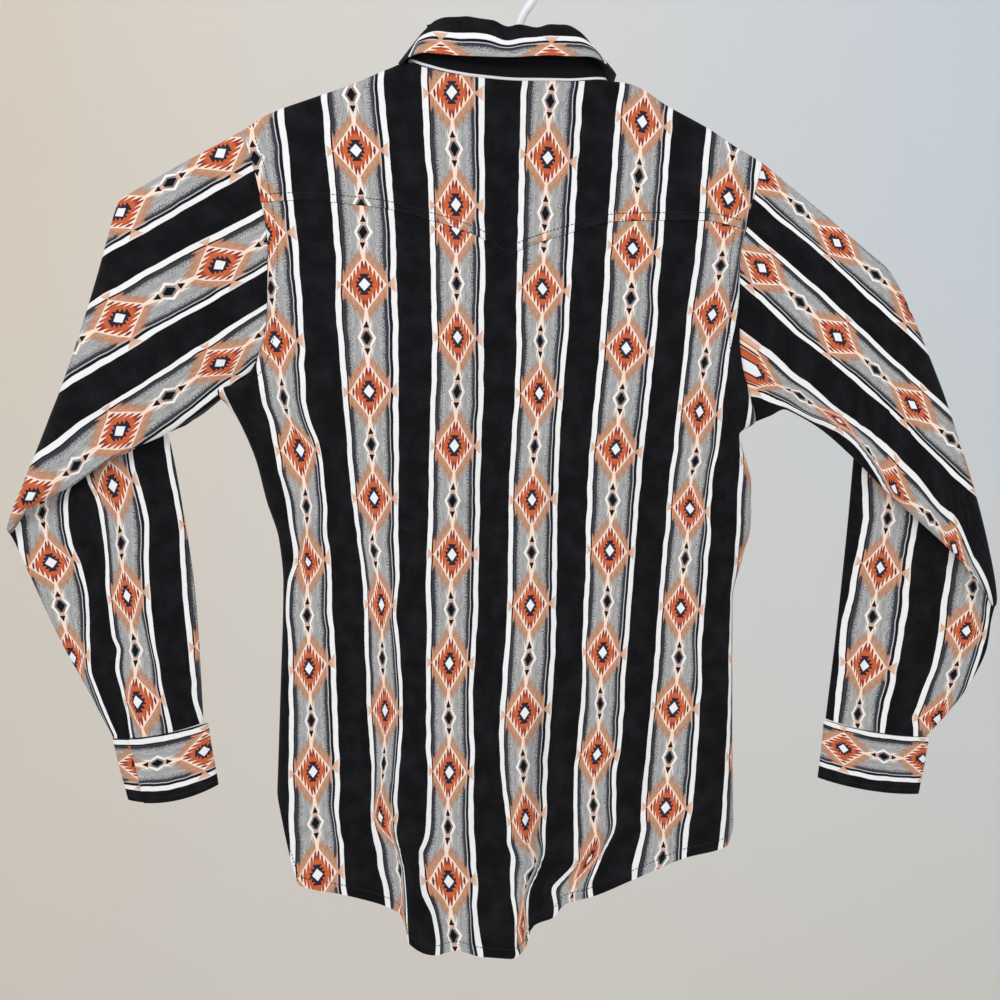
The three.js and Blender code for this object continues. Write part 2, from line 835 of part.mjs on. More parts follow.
const stemFoot = new THREE.Vector3(HANGER_TOP[0], 0, HANGER_TOP[1]);
const leftEnd = armPoint(HANGER_LEFT);
const rightEnd = armPoint(HANGER_RIGHT);
const side = TUBE_RADIUS + 2.7;
const frameLeft = new THREE.CatmullRomCurve3([
  new THREE.Vector3(stemFoot.x - side, 0, stemFoot.z - 2),
  new THREE.Vector3(-45, 0, -93),
  new THREE.Vector3(-85, 0, -114),
  new THREE.Vector3(-102, 0, -120.5),
  armPoint(-132),
  armPoint(-165),
  leftEnd,
  new THREE.Vector3(leftEnd.x - HANGER_END_RADIUS, 0, leftEnd.z - HANGER_END_RADIUS * 1.1),
  new THREE.Vector3(leftEnd.x + 2, 0, leftEnd.z - HANGER_END_RADIUS * 2),
  new THREE.Vector3(mix(leftEnd.x, rightEnd.x, 0.5), 0, mix(leftEnd.z, rightEnd.z, 0.5) - 26),
  new THREE.Vector3(rightEnd.x - 2, 0, rightEnd.z - HANGER_END_RADIUS * 2),
  new THREE.Vector3(rightEnd.x + HANGER_END_RADIUS, 0, rightEnd.z - HANGER_END_RADIUS * 0.9),
  rightEnd,
  armPoint(180),
  armPoint(155),
  armPoint(130),
  new THREE.Vector3(105, 0, -137),
  new THREE.Vector3(84, 0, -129),
  new THREE.Vector3(48, 0, -103),
  new THREE.Vector3(stemFoot.x + side, 0, stemFoot.z - 2),
]);
barAlong("hanger_frame", frameLeft, 64);

// Hook: a stem with a slight bend, then a little over half a circle that ends open on the left
const hookCentre = new THREE.Vector3(0, 0, TUBE_RADIUS - HOOK_RADIUS);
const hookPoints = [
  new THREE.Vector3(stemFoot.x, 0, stemFoot.z - TUBE_RADIUS - 2),
  new THREE.Vector3(stemFoot.x + 1, 0, stemFoot.z + 6),
  new THREE.Vector3(stemFoot.x + 5, 0, -58),
  new THREE.Vector3(22, 0, -42),
];
for (let i = 0; i <= 7; i += 1) {
  const angle = mix(-0.2, Math.PI + 0.25, i / 7);
  hookPoints.push(
    new THREE.Vector3(
      hookCentre.x + HOOK_RADIUS * Math.cos(angle),
      0,
      hookCentre.z + HOOK_RADIUS * Math.sin(angle),
    ),
  );
}
barAlong("hanger_hook", new THREE.CatmullRomCurve3(hookPoints), 26);

export default shirt;
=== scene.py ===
# Western snap shirt with serape stripes, seen from its back on a tubular hanger.
# Sizes are in millimetres in the tables and in metres in the meshes.
import math

import bpy
import numpy as np
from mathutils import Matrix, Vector


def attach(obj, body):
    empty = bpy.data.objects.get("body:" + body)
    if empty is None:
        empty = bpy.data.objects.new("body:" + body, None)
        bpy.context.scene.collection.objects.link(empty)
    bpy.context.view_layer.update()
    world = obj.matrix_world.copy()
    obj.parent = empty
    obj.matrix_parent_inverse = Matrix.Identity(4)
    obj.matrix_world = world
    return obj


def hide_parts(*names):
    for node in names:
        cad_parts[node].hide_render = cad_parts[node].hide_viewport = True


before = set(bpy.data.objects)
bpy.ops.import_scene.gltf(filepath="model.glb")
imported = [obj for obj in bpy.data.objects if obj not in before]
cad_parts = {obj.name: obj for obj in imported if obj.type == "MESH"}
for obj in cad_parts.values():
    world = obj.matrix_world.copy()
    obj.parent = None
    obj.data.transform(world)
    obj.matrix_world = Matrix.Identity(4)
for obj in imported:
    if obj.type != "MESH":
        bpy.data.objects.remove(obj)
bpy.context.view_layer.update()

MM = 0.001
root = "root"


# Camera, wall, floor and light.
# The shirt hangs well clear of a pale painted wall and is seen square from its back.
def srgb(*levels):
    """Linear colour from the three numbers that a paint card gives."""
    shares = [level / 255 for level in levels]
    return (*(s / 12.92 if s <= 0.04045 else ((s + 0.055) / 1.055) ** 2.4 for s in shares), 1.0)


def add_object(name, data):
    thing = bpy.data.objects.new(name, data)
    bpy.context.scene.collection.objects.link(thing)
    return thing


def add_mesh(name, points, faces):
    mesh = bpy.data.meshes.new(name)
    mesh.from_pydata(points, [], faces)
    return add_object(name, mesh)


def feed(tree, node, inputs):
    """Gives each named input of a node a constant or the output of another node."""
    for socket, value in inputs.items():
        if isinstance(value, bpy.types.NodeSocket):
            tree.links.new(value, node.inputs[socket])
        else:
            node.inputs[socket].default_value = value


def add_node(tree, kind, inputs, **settings):
    node = tree.nodes.new("ShaderNode" + kind)
    for setting, value in settings.items():
        setattr(node, setting, value)
    feed(tree, node, inputs)
    return node.outputs


def new_material(name, constants):
    """A material, its tree of nodes and its shader, with constant values on the shader's sockets."""
    material = bpy.data.materials.new(name)
    material.use_nodes = True
    shader = material.node_tree.nodes["Principled BSDF"]
    feed(material.node_tree, shader, constants)
    return material, material.node_tree, shader


def object_place(tree):
    return add_node(tree, "TexCoord", {})["Object"]


def noise(tree, place, scale, detail=2, **more):
    return add_node(tree, "TexNoise", {"Vector": place, "Scale": scale, "Detail": detail, **more})


def blend(tree, share, tone, other):
    return add_node(tree, "Mix", {"Factor": share, "A": tone, "B": other}, data_type="RGBA")["Result"]


def bump(tree, height, strength, distance, **under):
    inputs = {"Height": height, "Strength": strength, "Distance": distance, **under}
    return add_node(tree, "Bump", inputs)[0]


VIEW_DISTANCE, VIEW_WIDTH, VIEW_PLANE = 2.4, 0.95, -0.008
VIEW_X, VIEW_Z, SENSOR_WIDTH = -0.01045, -0.5206, 36
camera_data = bpy.data.cameras.new("shirt_camera")
camera_data.sensor_width = SENSOR_WIDTH
camera_data.lens = SENSOR_WIDTH * VIEW_DISTANCE / VIEW_WIDTH
camera_data.clip_end = 60
camera = add_object("shirt_camera", camera_data)
camera.location = (VIEW_X, VIEW_PLANE - VIEW_DISTANCE, VIEW_Z)
camera.rotation_euler = (math.pi / 2, 0, 0)
bpy.context.scene.camera = camera
bpy.context.scene.view_settings.view_transform = "Standard"

WALL_AT, FLOOR_AT, ROOM, CEILING = 4.2, -2.1, 9, 4
TONES_MEET = 1.25
LOW_WALL_TONE = srgb(225, 220, 213)
FLOOR_TONE = srgb(214, 211, 206)


def painted(name, left, right, height_low, height_high):
    """Wall paint: two tones that meet across the wall, with a faint roller texture. On the wall they are
    painted light: warm on the left and cool on the right, for the uneven light that falls on the plain wall.
    """
    material, tree, shader = new_material(name, {"Roughness": 0.9, "Specular IOR Level": 0.2})
    place = object_place(tree)
    split = add_node(tree, "SeparateXYZ", {0: place})
    across = {"Value": split["X"], "From Min": -TONES_MEET, "From Max": TONES_MEET}
    up = {"Value": split["Z"], "From Min": height_low, "From Max": height_high}
    tone = blend(tree, add_node(tree, "MapRange", across)[0], left, right)
    feed(tree, shader, {
        "Base Color": blend(tree, add_node(tree, "MapRange", up)[0], LOW_WALL_TONE, tone),
        "Normal": bump(tree, noise(tree, place, 60)["Fac"], 0.05, 0.001),
    })
    return material


def flat_panel(name, corners, paint):
    panel = add_mesh(name, corners, [(0, 1, 2, 3)])
    panel.data.materials.append(paint)


skirting = [(-ROOM, WALL_AT, FLOOR_AT), (ROOM, WALL_AT, FLOOR_AT)]
# The wall's warm left tone and cool right tone are painted light, for the uneven light on a plain pale wall.
wall_paint_and_light = painted("wall_paint_and_light", srgb(227, 217, 203), srgb(216, 224, 232), -2.3, 0.2)
flat_panel("wall", skirting + [(ROOM, WALL_AT, CEILING), (-ROOM, WALL_AT, CEILING)], wall_paint_and_light)
floor_paint = painted("floor_paint", FLOOR_TONE, FLOOR_TONE, -3, -1)
flat_panel("floor", [(-ROOM, -ROOM, FLOOR_AT), (ROOM, -ROOM, FLOOR_AT)] + skirting[::-1], floor_paint)

world = bpy.data.worlds.new("soft_room")
world.use_nodes = True
feed(world.node_tree, world.node_tree.nodes["Background"], {"Color": (0.96, 0.98, 1.0, 1), "Strength": 0.7})
bpy.context.scene.world = world
for name, place, size, power, lit in [
    ("window_light", (-1.6, -2.6, 1.2), 1.6, 52, (0, 0, -0.5)),
    ("fill_light", (2.2, -2.2, 0.2), 1.8, 16, (0, 0, -0.5)),
    ("back_light", (0.6, 3.0, 1.6), 2.0, 26, (0, 0, -0.5)),
    ("wall_light", (-0.4, 2.2, 1.7), 1.0, 11, (0, 4.2, -0.9)),
]:
    lamp_data = bpy.data.lights.new(name, "AREA")
    lamp_data.size = size
    lamp_data.energy = power
    lamp = add_object(name, lamp_data)
    lamp.location = place
    aim = Vector(lit) - lamp.location
    lamp.rotation_euler = aim.to_track_quat("-Z", "Y").to_euler()


# Hanger: one moulded white plastic tube for the hook and one for the arms and lower bar.
# The shoulders of the shirt rest on the arms, and the hook's top rests on a rod.
def table(rows, column, key):
    """Reads a column of a table of rows at its first column, on a curve that never overshoots."""
    ordered = sorted(rows)
    keys = np.array([row[0] for row in ordered], float)
    values = np.array([row[column] for row in ordered], float)
    slope = np.diff(values) / np.diff(keys)
    product = slope[:-1] * slope[1:]
    total = np.where(product > 0, slope[:-1] + slope[1:], 1)
    tangent = np.concatenate([slope[:1], np.where(product > 0, 2 * product / total, 0), slope[-1:]])
    at = np.clip(key, keys[0], keys[-1])
    i = np.clip(np.searchsorted(keys, at, side="right") - 1, 0, len(keys) - 2)
    span = keys[i + 1] - keys[i]
    k = (at - keys[i]) / span
    start = values[i] * (2 * k**3 - 3 * k**2 + 1)
    end = values[i + 1] * (3 * k**2 - 2 * k**3)
    return start + end + span * (tangent[i] * (k**3 - 2 * k**2 + k) + tangent[i + 1] * (k**3 - k**2))


BACK_TOP = [
    (-258, -170), (-229, -152), (-191, -138), (-153, -125), (-115, -109), (-101, -104), (-86, -109),
    (-62, -116), (-33, -121), (11, -124.5), (54, -124.5), (94, -121.5), (113, -124), (151, -146),
    (189, -167), (208, -180), (239, -199),
]
TUBE_RADIUS, TUBE_SIDES = 4.25, 24


def smooth_path(points, steps):
    """A smooth curve through the points, spaced by the root of their distance."""
    points = [np.array(point, float) for point in points]
    first = 2 * points[0] - points[1]
    last = 2 * points[-1] - points[-2]
    chain = [first, *points, last]
    path = []
    for p0, p1, p2, p3 in zip(chain, chain[1:], chain[2:], chain[3:]):
        steps_on = [math.sqrt(np.linalg.norm(b - a)) for a, b in ((p0, p1), (p1, p2), (p2, p3))]
        t1, t2, t3 = np.cumsum(steps_on)
        for t in np.linspace(t1, t2, steps, endpoint=False):
            a = p0 * (t1 - t) / t1 + p1 * t / t1
            b = p1 * (t2 - t) / (t2 - t1) + p2 * (t - t1) / (t2 - t1)
            c = p2 * (t3 - t) / (t3 - t2) + p3 * (t - t2) / (t3 - t2)
            d = a * (t2 - t) / t2 + b * t / t2
            e = b * (t3 - t) / (t3 - t1) + c * (t - t1) / (t3 - t1)
            path.append(d * (t2 - t) / (t2 - t1) + e * (t - t1) / (t2 - t1))
    path.append(points[-1])
    return np.array(path)


def ring_faces(rings, sides, first=0, closed=True):
    """Faces that join each ring of points with the next, and with closed one on each end."""
    faces = []
    for low in range(first, first + (rings - 1) * sides, sides):
        for i in range(sides):
            j = (i + 1) % sides
            faces.append((low + i, low + j, low + sides + j, low + sides + i))
    if closed:
        faces.append(tuple(first + i for i in range(sides - 1, -1, -1)))
        faces.append(tuple(first + (rings - 1) * sides + i for i in range(sides)))
    return faces


def unit(directions):
    return directions / np.linalg.norm(directions, axis=-1)[..., None]


def tube(name, path):
    """A round tube in the hanger's plane, with a rounded cap on each end."""
    tangent = unit(np.gradient(path, axis=0))
    across = np.array([0.0, 1.0, 0.0])
    beside = np.cross(tangent, across)
    turn = np.linspace(0, 2 * math.pi, TUBE_SIDES, endpoint=False)
    caps = [(0.25, 0.55), (0.6, 0.83), (0.85, 0.96)]
    order = [(0, -TUBE_RADIUS * (1 - a) * 0.6, b) for a, b in caps]
    order += [(i, 0, 1) for i in range(len(path))]
    order += [(-1, TUBE_RADIUS * (1 - a) * 0.6, b) for a, b in reversed(caps)]
    rings = []
    for i, ahead, share in order:
        circle = np.cos(turn)[:, None] * beside[i] + np.sin(turn)[:, None] * across
        rings.append(path[i] + tangent[i] * ahead + TUBE_RADIUS * share * circle)
    points = np.concatenate(rings) * MM
    piece = add_mesh(name, points.tolist(), ring_faces(len(rings), TUBE_SIDES))
    piece.data.shade_smooth()
    return piece


hanger_plastic, tree, shader = new_material("white_hanger_plastic", {
    "Coat Weight": 0.25, "Coat Roughness": 0.2,
})
place = object_place(tree)
cloudy, scuff = noise(tree, place, 24, 5)["Fac"], noise(tree, place, 700, 3)["Fac"]
feed(tree, shader, {
    "Base Color": blend(tree, cloudy, srgb(222, 226, 230), srgb(240, 241, 242)),
    "Roughness": add_node(tree, "MapRange", {"Value": scuff, "To Min": 0.28, "To Max": 0.5})[0],
    "Normal": bump(tree, cloudy, 0.1, 0.0003),
})

HANGER_LEFT, HANGER_RIGHT, ARM_DROP = -206, 208, 8.6
END_RADIUS, HOOK_RADIUS = 13, 25.6
STEM_X, STEM_Z = 7, -74


def arm(x):
    return (x, 0, float(table(BACK_TOP, 1, x)) - ARM_DROP)


left_end, right_end = arm(HANGER_LEFT), arm(HANGER_RIGHT)
stem_side = TUBE_RADIUS + 2.7
hanger_frame = tube("hanger_arms", smooth_path([
    (STEM_X - stem_side, 0, STEM_Z - 2), (-45, 0, -93), (-85, 0, -114), (-102, 0, -120.5),
    arm(-132), arm(-165), left_end,
    (left_end[0] - END_RADIUS, 0, left_end[2] - END_RADIUS * 1.1),
    (left_end[0] + 2, 0, left_end[2] - END_RADIUS * 2),
    ((left_end[0] + right_end[0]) / 2, 0, (left_end[2] + right_end[2]) / 2 - END_RADIUS * 2),
    (right_end[0] - 2, 0, right_end[2] - END_RADIUS * 2),
    (right_end[0] + END_RADIUS, 0, right_end[2] - END_RADIUS * 0.9),
    right_end, arm(180), arm(155), arm(130),
    (105, 0, -137), (84, 0, -129), (48, 0, -103), (STEM_X + stem_side, 0, STEM_Z - 2),
], 10))
hook_points = [(STEM_X, 0, STEM_Z - TUBE_RADIUS - 2), (STEM_X + 1, 0, STEM_Z + 6), (12, 0, -58), (22, 0, -42)]
for angle in np.linspace(-0.2, math.pi + 0.25, 8):
    rise = TUBE_RADIUS - HOOK_RADIUS + HOOK_RADIUS * math.sin(angle)
    hook_points.append((HOOK_RADIUS * math.cos(angle), 0, rise))
hanger_hook = tube("hanger_hook_tube", smooth_path(hook_points, 10))
for piece, node in ((hanger_frame, "hanger_frame"), (hanger_hook, "hanger_hook")):
    piece.data.materials.append(hanger_plastic)
    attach(piece, root)
    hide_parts(node)


# Back: one cut of mid-weight cotton from the yoke seam to the curved tail.
# Its serape stripes run down the cloth, and long soft folds hang in it.
LEFT_EDGE = [
    (-170, -258), (-190, -249), (-229, -239), (-282, -231), (-349, -232), (-388, -242), (-407, -256),
    (-418, -284), (-428, -272), (-455, -255), (-483, -243), (-521, -233), (-559, -221), (-600, -217),
    (-711, -220), (-806, -223),
]
RIGHT_EDGE = [
    (-199, 239), (-219, 234), (-254, 225), (-300, 217), (-369, 217), (-395, 220), (-420, 227),
    (-446, 233), (-458, 218), (-483, 224), (-502, 229), (-540, 229), (-578, 220), (-616, 211),
    (-730, 211), (-830, 212),
]
BODY_DEPTH = [(-100, 14), (-250, 20), (-350, 25), (-450, 27), (-650, 27), (-850, 25), (-950, 24)]
FRONT_NECK = [
    (-101, -104), (-95, -111), (-86, -128), (-68, -148), (-40, -161), (-3.5, -167), (33, -165),
    (62, -156), (80, -143), (88, -130), (94, -121),
]
YOKE_SEAM = [
    (-236, -238), (-205, -237), (-125, -244), (-77, -256), (-28, -273), (-5, -292), (7, -285),
    (50, -270), (104, -257), (180, -256), (224, -264),
]
BACK_HEM = [
    (-223, -799), (-207, -868), (-200, -886), (-157, -894), (-117, -906), (-102, -914), (-97, -938),
    (-71, -950), (-52, -946), (-27, -952), (0, -953), (13, -944), (20, -924), (40, -916), (50, -903),
    (80, -894), (118, -878), (165, -859), (205, -849), (212, -830),
]
FRONT_HEM = [
    (-223, -788), (-205, -850), (-150, -878), (-60, -900), (20, -898), (100, -866), (190, -838), (212, -818),
]
# Hanging folds of the back: x and z at the top, x and z at the bottom, width, height
BACK_FOLDS = [
    (-98, -735, -88, -990, 24, 9), (-128, -690, -117, -980, 26, -8), (12, -640, 4, -990, 24, 7),
    (32, -700, 31, -980, 24, -9), (-15, -320, -22, -690, 32, -6), (55, -430, 45, -830, 28, -6),
    (100, -330, 86, -860, 38, 5), (-165, -370, -152, -780, 32, -6), (-120, -340, -132, -720, 36, 5),
    (150, -400, 140, -860, 30, -5), (-228, -470, -182, -556, 20, 5), (-64, -300, -62, -640, 36, 4),
]
FRONT_FOLDS = [
    (-150, -330, -160, -900, 42, -7), (-95, -380, -88, -950, 38, 6), (70, -300, 62, -760, 40, -6),
    (112, -420, 120, -940, 42, 7), (168, -480, 160, -900, 34, -5),
]
# Short creases of the back from one point to another: width, height
BACK_CREASES = [
    (-222, -572, -176, -590, 7, -2.6), (-219, -494, -200, -532, 6, 2.2), (186, -505, 208, -472, 7, 2.4),
    (172, -520, 196, -560, 9, -2.2), (32, -849, 15, -891, 5, -4), (39, -853, 23, -893, 5, 3),
    (96, -834, 46, -887, 7, -5), (104, -836, 58, -893, 6, 4), (-109, -834, -100, -915, 6, -5),
    (-99, -836, -90, -905, 5, 3), (-104, -860, -81, -858, 4, -2.5), (-168, -838, -150, -845, 5, -2.4),
    (-86, -852, -78, -870, 5, -2), (-9, -845, 4, -857, 5, -2.2), (-162, -820, -140, -858, 7, 2.2),
    (-236, -430, -190, -470, 8, -2.4), (214, -452, 170, -492, 9, -2.2),
    (-205, -640, -196, -760, 10, 1.6), (-60, -330, -40, -420, 9, -1.2), (20, -360, 34, -470, 8, 1.3),
    (120, -300, 150, -380, 10, -1.4), (-150, -280, -190, -360, 9, 1.3), (60, -640, 78, -740, 9, 1.6),
    (-20, -720, -34, -850, 10, -1.8), (130, -700, 112, -800, 9, 1.5), (-176, -800, -160, -880, 8, 2),
    (160, -640, 182, -700, 8, -1.6), (-90, -560, -120, -640, 11, 1.4), (10, -900, 0, -950, 5, 2.2),
    (-70, -900, -62, -948, 7, -2.4), (-40, -890, -44, -950, 6, 2), (140, -820, 150, -865, 8, -2),
]
FRONT_CREASES = [
    (-222, -560, -160, -590, 9, -2.6), (208, -500, 150, -540, 9, 2.4), (-190, -380, -140, -430, 10, -2),
    (180, -400, 130, -460, 10, 2), (-60, -220, -90, -300, 12, 1.6), (70, -230, 100, -310, 12, -1.6),
    (-120, -640, -150, -760, 12, 2), (90, -600, 120, -720, 12, -2), (40, -780, 60, -880, 10, 2.2),
    (-60, -800, -80, -890, 10, -2.2), (150, -740, 170, -830, 9, 1.8), (-180, -820, -170, -870, 8, -2),
]
CENTRE, RIDGE_RADIUS, HALF_GAP, CLOTH = -3.5, 9, 0.15, 0.75
NECK_LEFT, NECK_RIGHT, NECK_HALF_WIDTH, NECK_DEPTH, ARMHOLE_DEPTH = -101, 94, 97.5, 22, 9
# The straight lines from which the side edges bulge: their x at two heights
SIDES_FROM, SIDES_TO, LEFT_SIDE, RIGHT_SIDE = -250, -800, (-236, -220), (219, 211)
LEFT_ARMHOLE, RIGHT_ARMHOLE = (-170, -418), (-199, -446)


def ease(low, high, value):
    k = np.clip((np.asarray(value, float) - low) / (high - low), 0, 1)
    return k * k * (3 - 2 * k)


def mix(a, b, k):
    return a + (b - a) * k


def fullness(across):
    """How full a flattened tube of cloth is: 0 on its side edges, 1 in its middle."""
    s = np.sin(np.arccos(np.clip(1 - 2 * across, -1, 1)))
    return 2.2 * s / (1 + 1.2 * s)


def fold_height(folds, x, z):
    total = 0
    for x_top, z_top, x_bottom, z_bottom, width, height in folds:
        along = (z_top - z) / (z_top - z_bottom)
        side = (x - mix(x_top, x_bottom, along)) / width
        total = total + height * ease(0, 0.25, along) * ease(1, 0.85, along) * np.exp(-2 * side * side)
    return total


def beside_crease(crease, x, z):
    """How far a point lies beside a crease, in widths, and how strong the crease is there."""
    x1, z1, x2, z2, width, height = crease
    run = math.hypot(x2 - x1, z2 - z1)
    ux, uz = (x2 - x1) / run, (z2 - z1) / run
    along = ((x - x1) * ux + (z - z1) * uz) / run
    off = ((x - x1) * uz - (z - z1) * ux) + 0.05 * run * np.sin(3 * along)
    return off / width, height * ease(-0.25, 0.3, along) * ease(1.25, 0.6, along), ux, uz


def crease_height(creases, x, z):
    """Short creases: rounded in section and fading out at both ends."""
    total = 0
    for crease in creases:
        off, strength, _, _ = beside_crease(crease, x, z)
        total = total + strength * np.exp(-2 * off**2)
    return total


def crease_slip(creases, x, z):
    """How far the print moves to each side of its creases, because they take cloth in."""
    slip_x, slip_z = 0, 0
    for crease in creases:
        off, strength, ux, uz = beside_crease(crease, x, z)
        taken = 1.1 * np.abs(strength) * np.tanh(1.5 * off) * np.exp(-((off / 4) ** 2))
        slip_x, slip_z = slip_x + taken * uz, slip_z - taken * ux
    return slip_x, slip_z


def ripple(x, z):
    """The slight unevenness of cloth that has been worn and washed."""
    a = np.sin(x / 31 + 1.3 * np.sin(z / 74)) * np.sin(z / 90 + 0.8)
    b = np.sin(x / 13.7 - z / 61 + 2) * np.sin(z / 37 + x / 80)
    c = np.sin(x / 7.3 + z / 23 + 1.5 * np.sin(z / 41)) * np.sin(z / 19 - x / 33)
    return 0.55 * a + 0.3 * b + 0.12 * c


def armhole_depth(z, shoulder, underarm):
    down = (shoulder - z) / (shoulder - underarm)
    return np.where((down > 0) & (down < 1), ARMHOLE_DEPTH * fullness(np.clip(down, 0, 1)), 0)


def body_top(face, x):
    in_front_neck = (face > 0) & (x > NECK_LEFT) & (x < NECK_RIGHT)
    return np.where(in_front_neck, table(FRONT_NECK, 1, x), table(BACK_TOP, 1, x))


def body_x(across, z):
    down = (z - SIDES_FROM) / (SIDES_TO - SIDES_FROM)
    left, right = mix(*LEFT_SIDE, down), mix(*RIGHT_SIDE, down)
    left_pull = (table(LEFT_EDGE, 1, z) - left) * (1 - across) ** 5
    right_pull = (table(RIGHT_EDGE, 1, z) - right) * across**5
    return mix(left, right, across) + left_pull + right_pull


def body_point(face, across, z, finish=0):
    """A point on the outer face of the hanging body. finish 1 adds creases and ripples."""
    x = body_x(across, z)
    down = np.maximum(0, body_top(face, x) - z)
    neck = (x - CENTRE) / NECK_HALF_WIDTH
    neck_depth = NECK_DEPTH * np.sqrt(np.maximum(0, 1 - neck * neck))
    bend = np.minimum(down, RIDGE_RADIUS)
    near = np.hypot(neck_depth, np.sqrt(RIDGE_RADIUS**2 - (RIDGE_RADIUS - bend) ** 2))
    full = fullness(across)
    edge = mix(armhole_depth(z, *LEFT_ARMHOLE), armhole_depth(z, *RIGHT_ARMHOLE), across)
    far = mix(edge, table(BODY_DEPTH, 1, z), full)
    settled = ease(0, 120, down)
    folds, creases = (BACK_FOLDS, BACK_CREASES) if face < 0 else (FRONT_FOLDS, FRONT_CREASES)
    depth = mix(near, far, settled) + fold_height(folds, x, z) * full * settled
    if finish:
        unevenness = crease_height(creases, x, z) + ripple(x + 40 * face, z)
        depth = depth + unevenness * full * ease(0, 60, down)
    return np.stack([x, face * (HALF_GAP + depth), z], axis=-1)


def body_normal(face, across, z, finish=0):
    step = 0.003
    a = body_point(face, np.clip(across - step, 0, 1), z, finish)
    b = body_point(face, np.clip(across + step, 0, 1), z, finish)
    c = body_point(face, across, z - 1, finish)
    d = body_point(face, across, z + 1, finish)
    normal = unit(np.cross(b - a, d - c))
    return np.where((normal[..., 1] * face < 0)[..., None], -normal, normal)


def settle(across, start, height):
    """The height at which a line over x crosses each of the body's columns, which lean."""
    z = np.full_like(across, start)
    for _ in range(14):
        z = mix(z, height(body_x(across, z)), 0.7)
    return z


def height_on(line, across):
    start = -400.0 if line is BACK_HEM or line is FRONT_HEM else -250.0
    return settle(across, start, lambda x: table(line, 1, x))


def top_on(face, across):
    return settle(across, -150.0, lambda x: body_top(face, x))


def columns_between(start, end, count):
    k = np.linspace(start, end, count + 1)
    return 0.5 * k + 0.25 * (1 - np.cos(math.pi * k))


def cloth_shell(name, outer, inner, print_u, print_v, around=False, flip=False):
    """A closed sheet between an outer and an inner grid, with its place in the print on each point."""
    rows, columns = outer.shape[:2]
    points = np.concatenate([outer.reshape(-1, 3), inner.reshape(-1, 3)]) * MM
    inside = rows * columns
    grid = np.arange(inside).reshape(rows, columns)
    after = np.roll(grid, -1, axis=1) if around else grid[:, 1:]
    here = grid if around else grid[:, :-1]
    quads = [
        np.stack([here[:-1], here[1:], after[1:], after[:-1]], -1),
        np.stack([here[:-1], after[:-1], after[1:], here[1:]], -1) + inside,
        np.stack([here[0], after[0], after[0] + inside, here[0] + inside], -1),
        np.stack([here[-1], here[-1] + inside, after[-1] + inside, after[-1]], -1),
    ]
    if not around:
        left, right = grid[:, 0], grid[:, -1]
        quads.append(np.stack([left[:-1], left[:-1] + inside, left[1:] + inside, left[1:]], -1))
        quads.append(np.stack([right[:-1], right[1:], right[1:] + inside, right[:-1] + inside], -1))
    faces = np.concatenate([part.reshape(-1, 4) for part in quads])
    if flip:
        faces = faces[:, ::-1]
    piece = add_mesh(name, points.tolist(), faces.tolist())
    mesh = piece.data
    mesh.shade_smooth()
    mesh.set_sharp_from_angle(angle=math.radians(60))
    place = np.zeros((2 * inside, 3), np.float32)
    for i, print_place in enumerate((print_u, print_v)):
        place[:, i] = np.tile(np.broadcast_to(print_place, (rows, columns)).ravel(), 2)
    place[inside:, 2] = 1
    mesh.attributes.new("print_place", "FLOAT_VECTOR", "POINT").data.foreach_set("vector", place.ravel())
    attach(piece, root)
    return piece


# The print's repeats across and down the cloth, and the places of a stripe's white lines and
# axis between the middles of the black grounds on its sides
STRIPE_PITCH, DIAMOND_PITCH = 93.4, 104
LEFT_LINE, AXIS, RIGHT_LINE, BAND_SHARE = 0.215, 0.488, 0.785, 0.6286
# Where the black grounds between the stripes run on the back: z, then their middles in x
BACK_GROUNDS = [
    (-126, -303, -199, -103, -7, 87, 172, 262), (-150, -299, -197, -101, -8, 84, 170, 260),
    (-274, -279, -185, -92, -9.5, 74.5, 159.5, 246), (-388, -262, -178, -90, -10, 67, 149.5, 219),
    (-502, -232, -166, -92, -15, 57.5, 137, 205), (-616, -228, -154, -93, -17, 56, 126.5, 197),
    (-730, -226, -149, -93, -24, 51, 117, 192), (-844, -225, -145, -94, -16.5, 43, 105, 183),
    (-901, -223, -138, -90, -15, 28, 97, 176), (-943, -220, -133, -86, -10, 22, 92, 172),
]
# Share of the spacing that a stripe takes where its grounds lie in a fold, or where a fold hides part of it
FOLDED_STRIPES = {
    0: [(-388, 0.63), (-430, 0.65), (-476, 0.72), (-520, 0.7), (-590, 0.63)],
    1: [(-502, 0.63), (-616, 0.53), (-730, 0.53), (-844, 0.41), (-943, 0.45)],
    3: [(-730, 0.63), (-844, 0.556), (-901, 0.42), (-943, 0.4)],
}
# Heights where the print's first and sixth row of diamonds lie on the back, by x
FIRST_ROW = [(-230, -371), (-147, -368), (-60, -367), (24, -370.5), (109, -378), (190, -392)]
LAST_ROW = [(-230, -884), (-133, -870), (-56, -880), (10, -872), (80, -856), (145, -859), (212, -858)]
YOKE_ROW = [(-258, -197), (-147, -189), (-55, -188.6), (30, -196), (112, -212), (196, -231), (239, -246)]
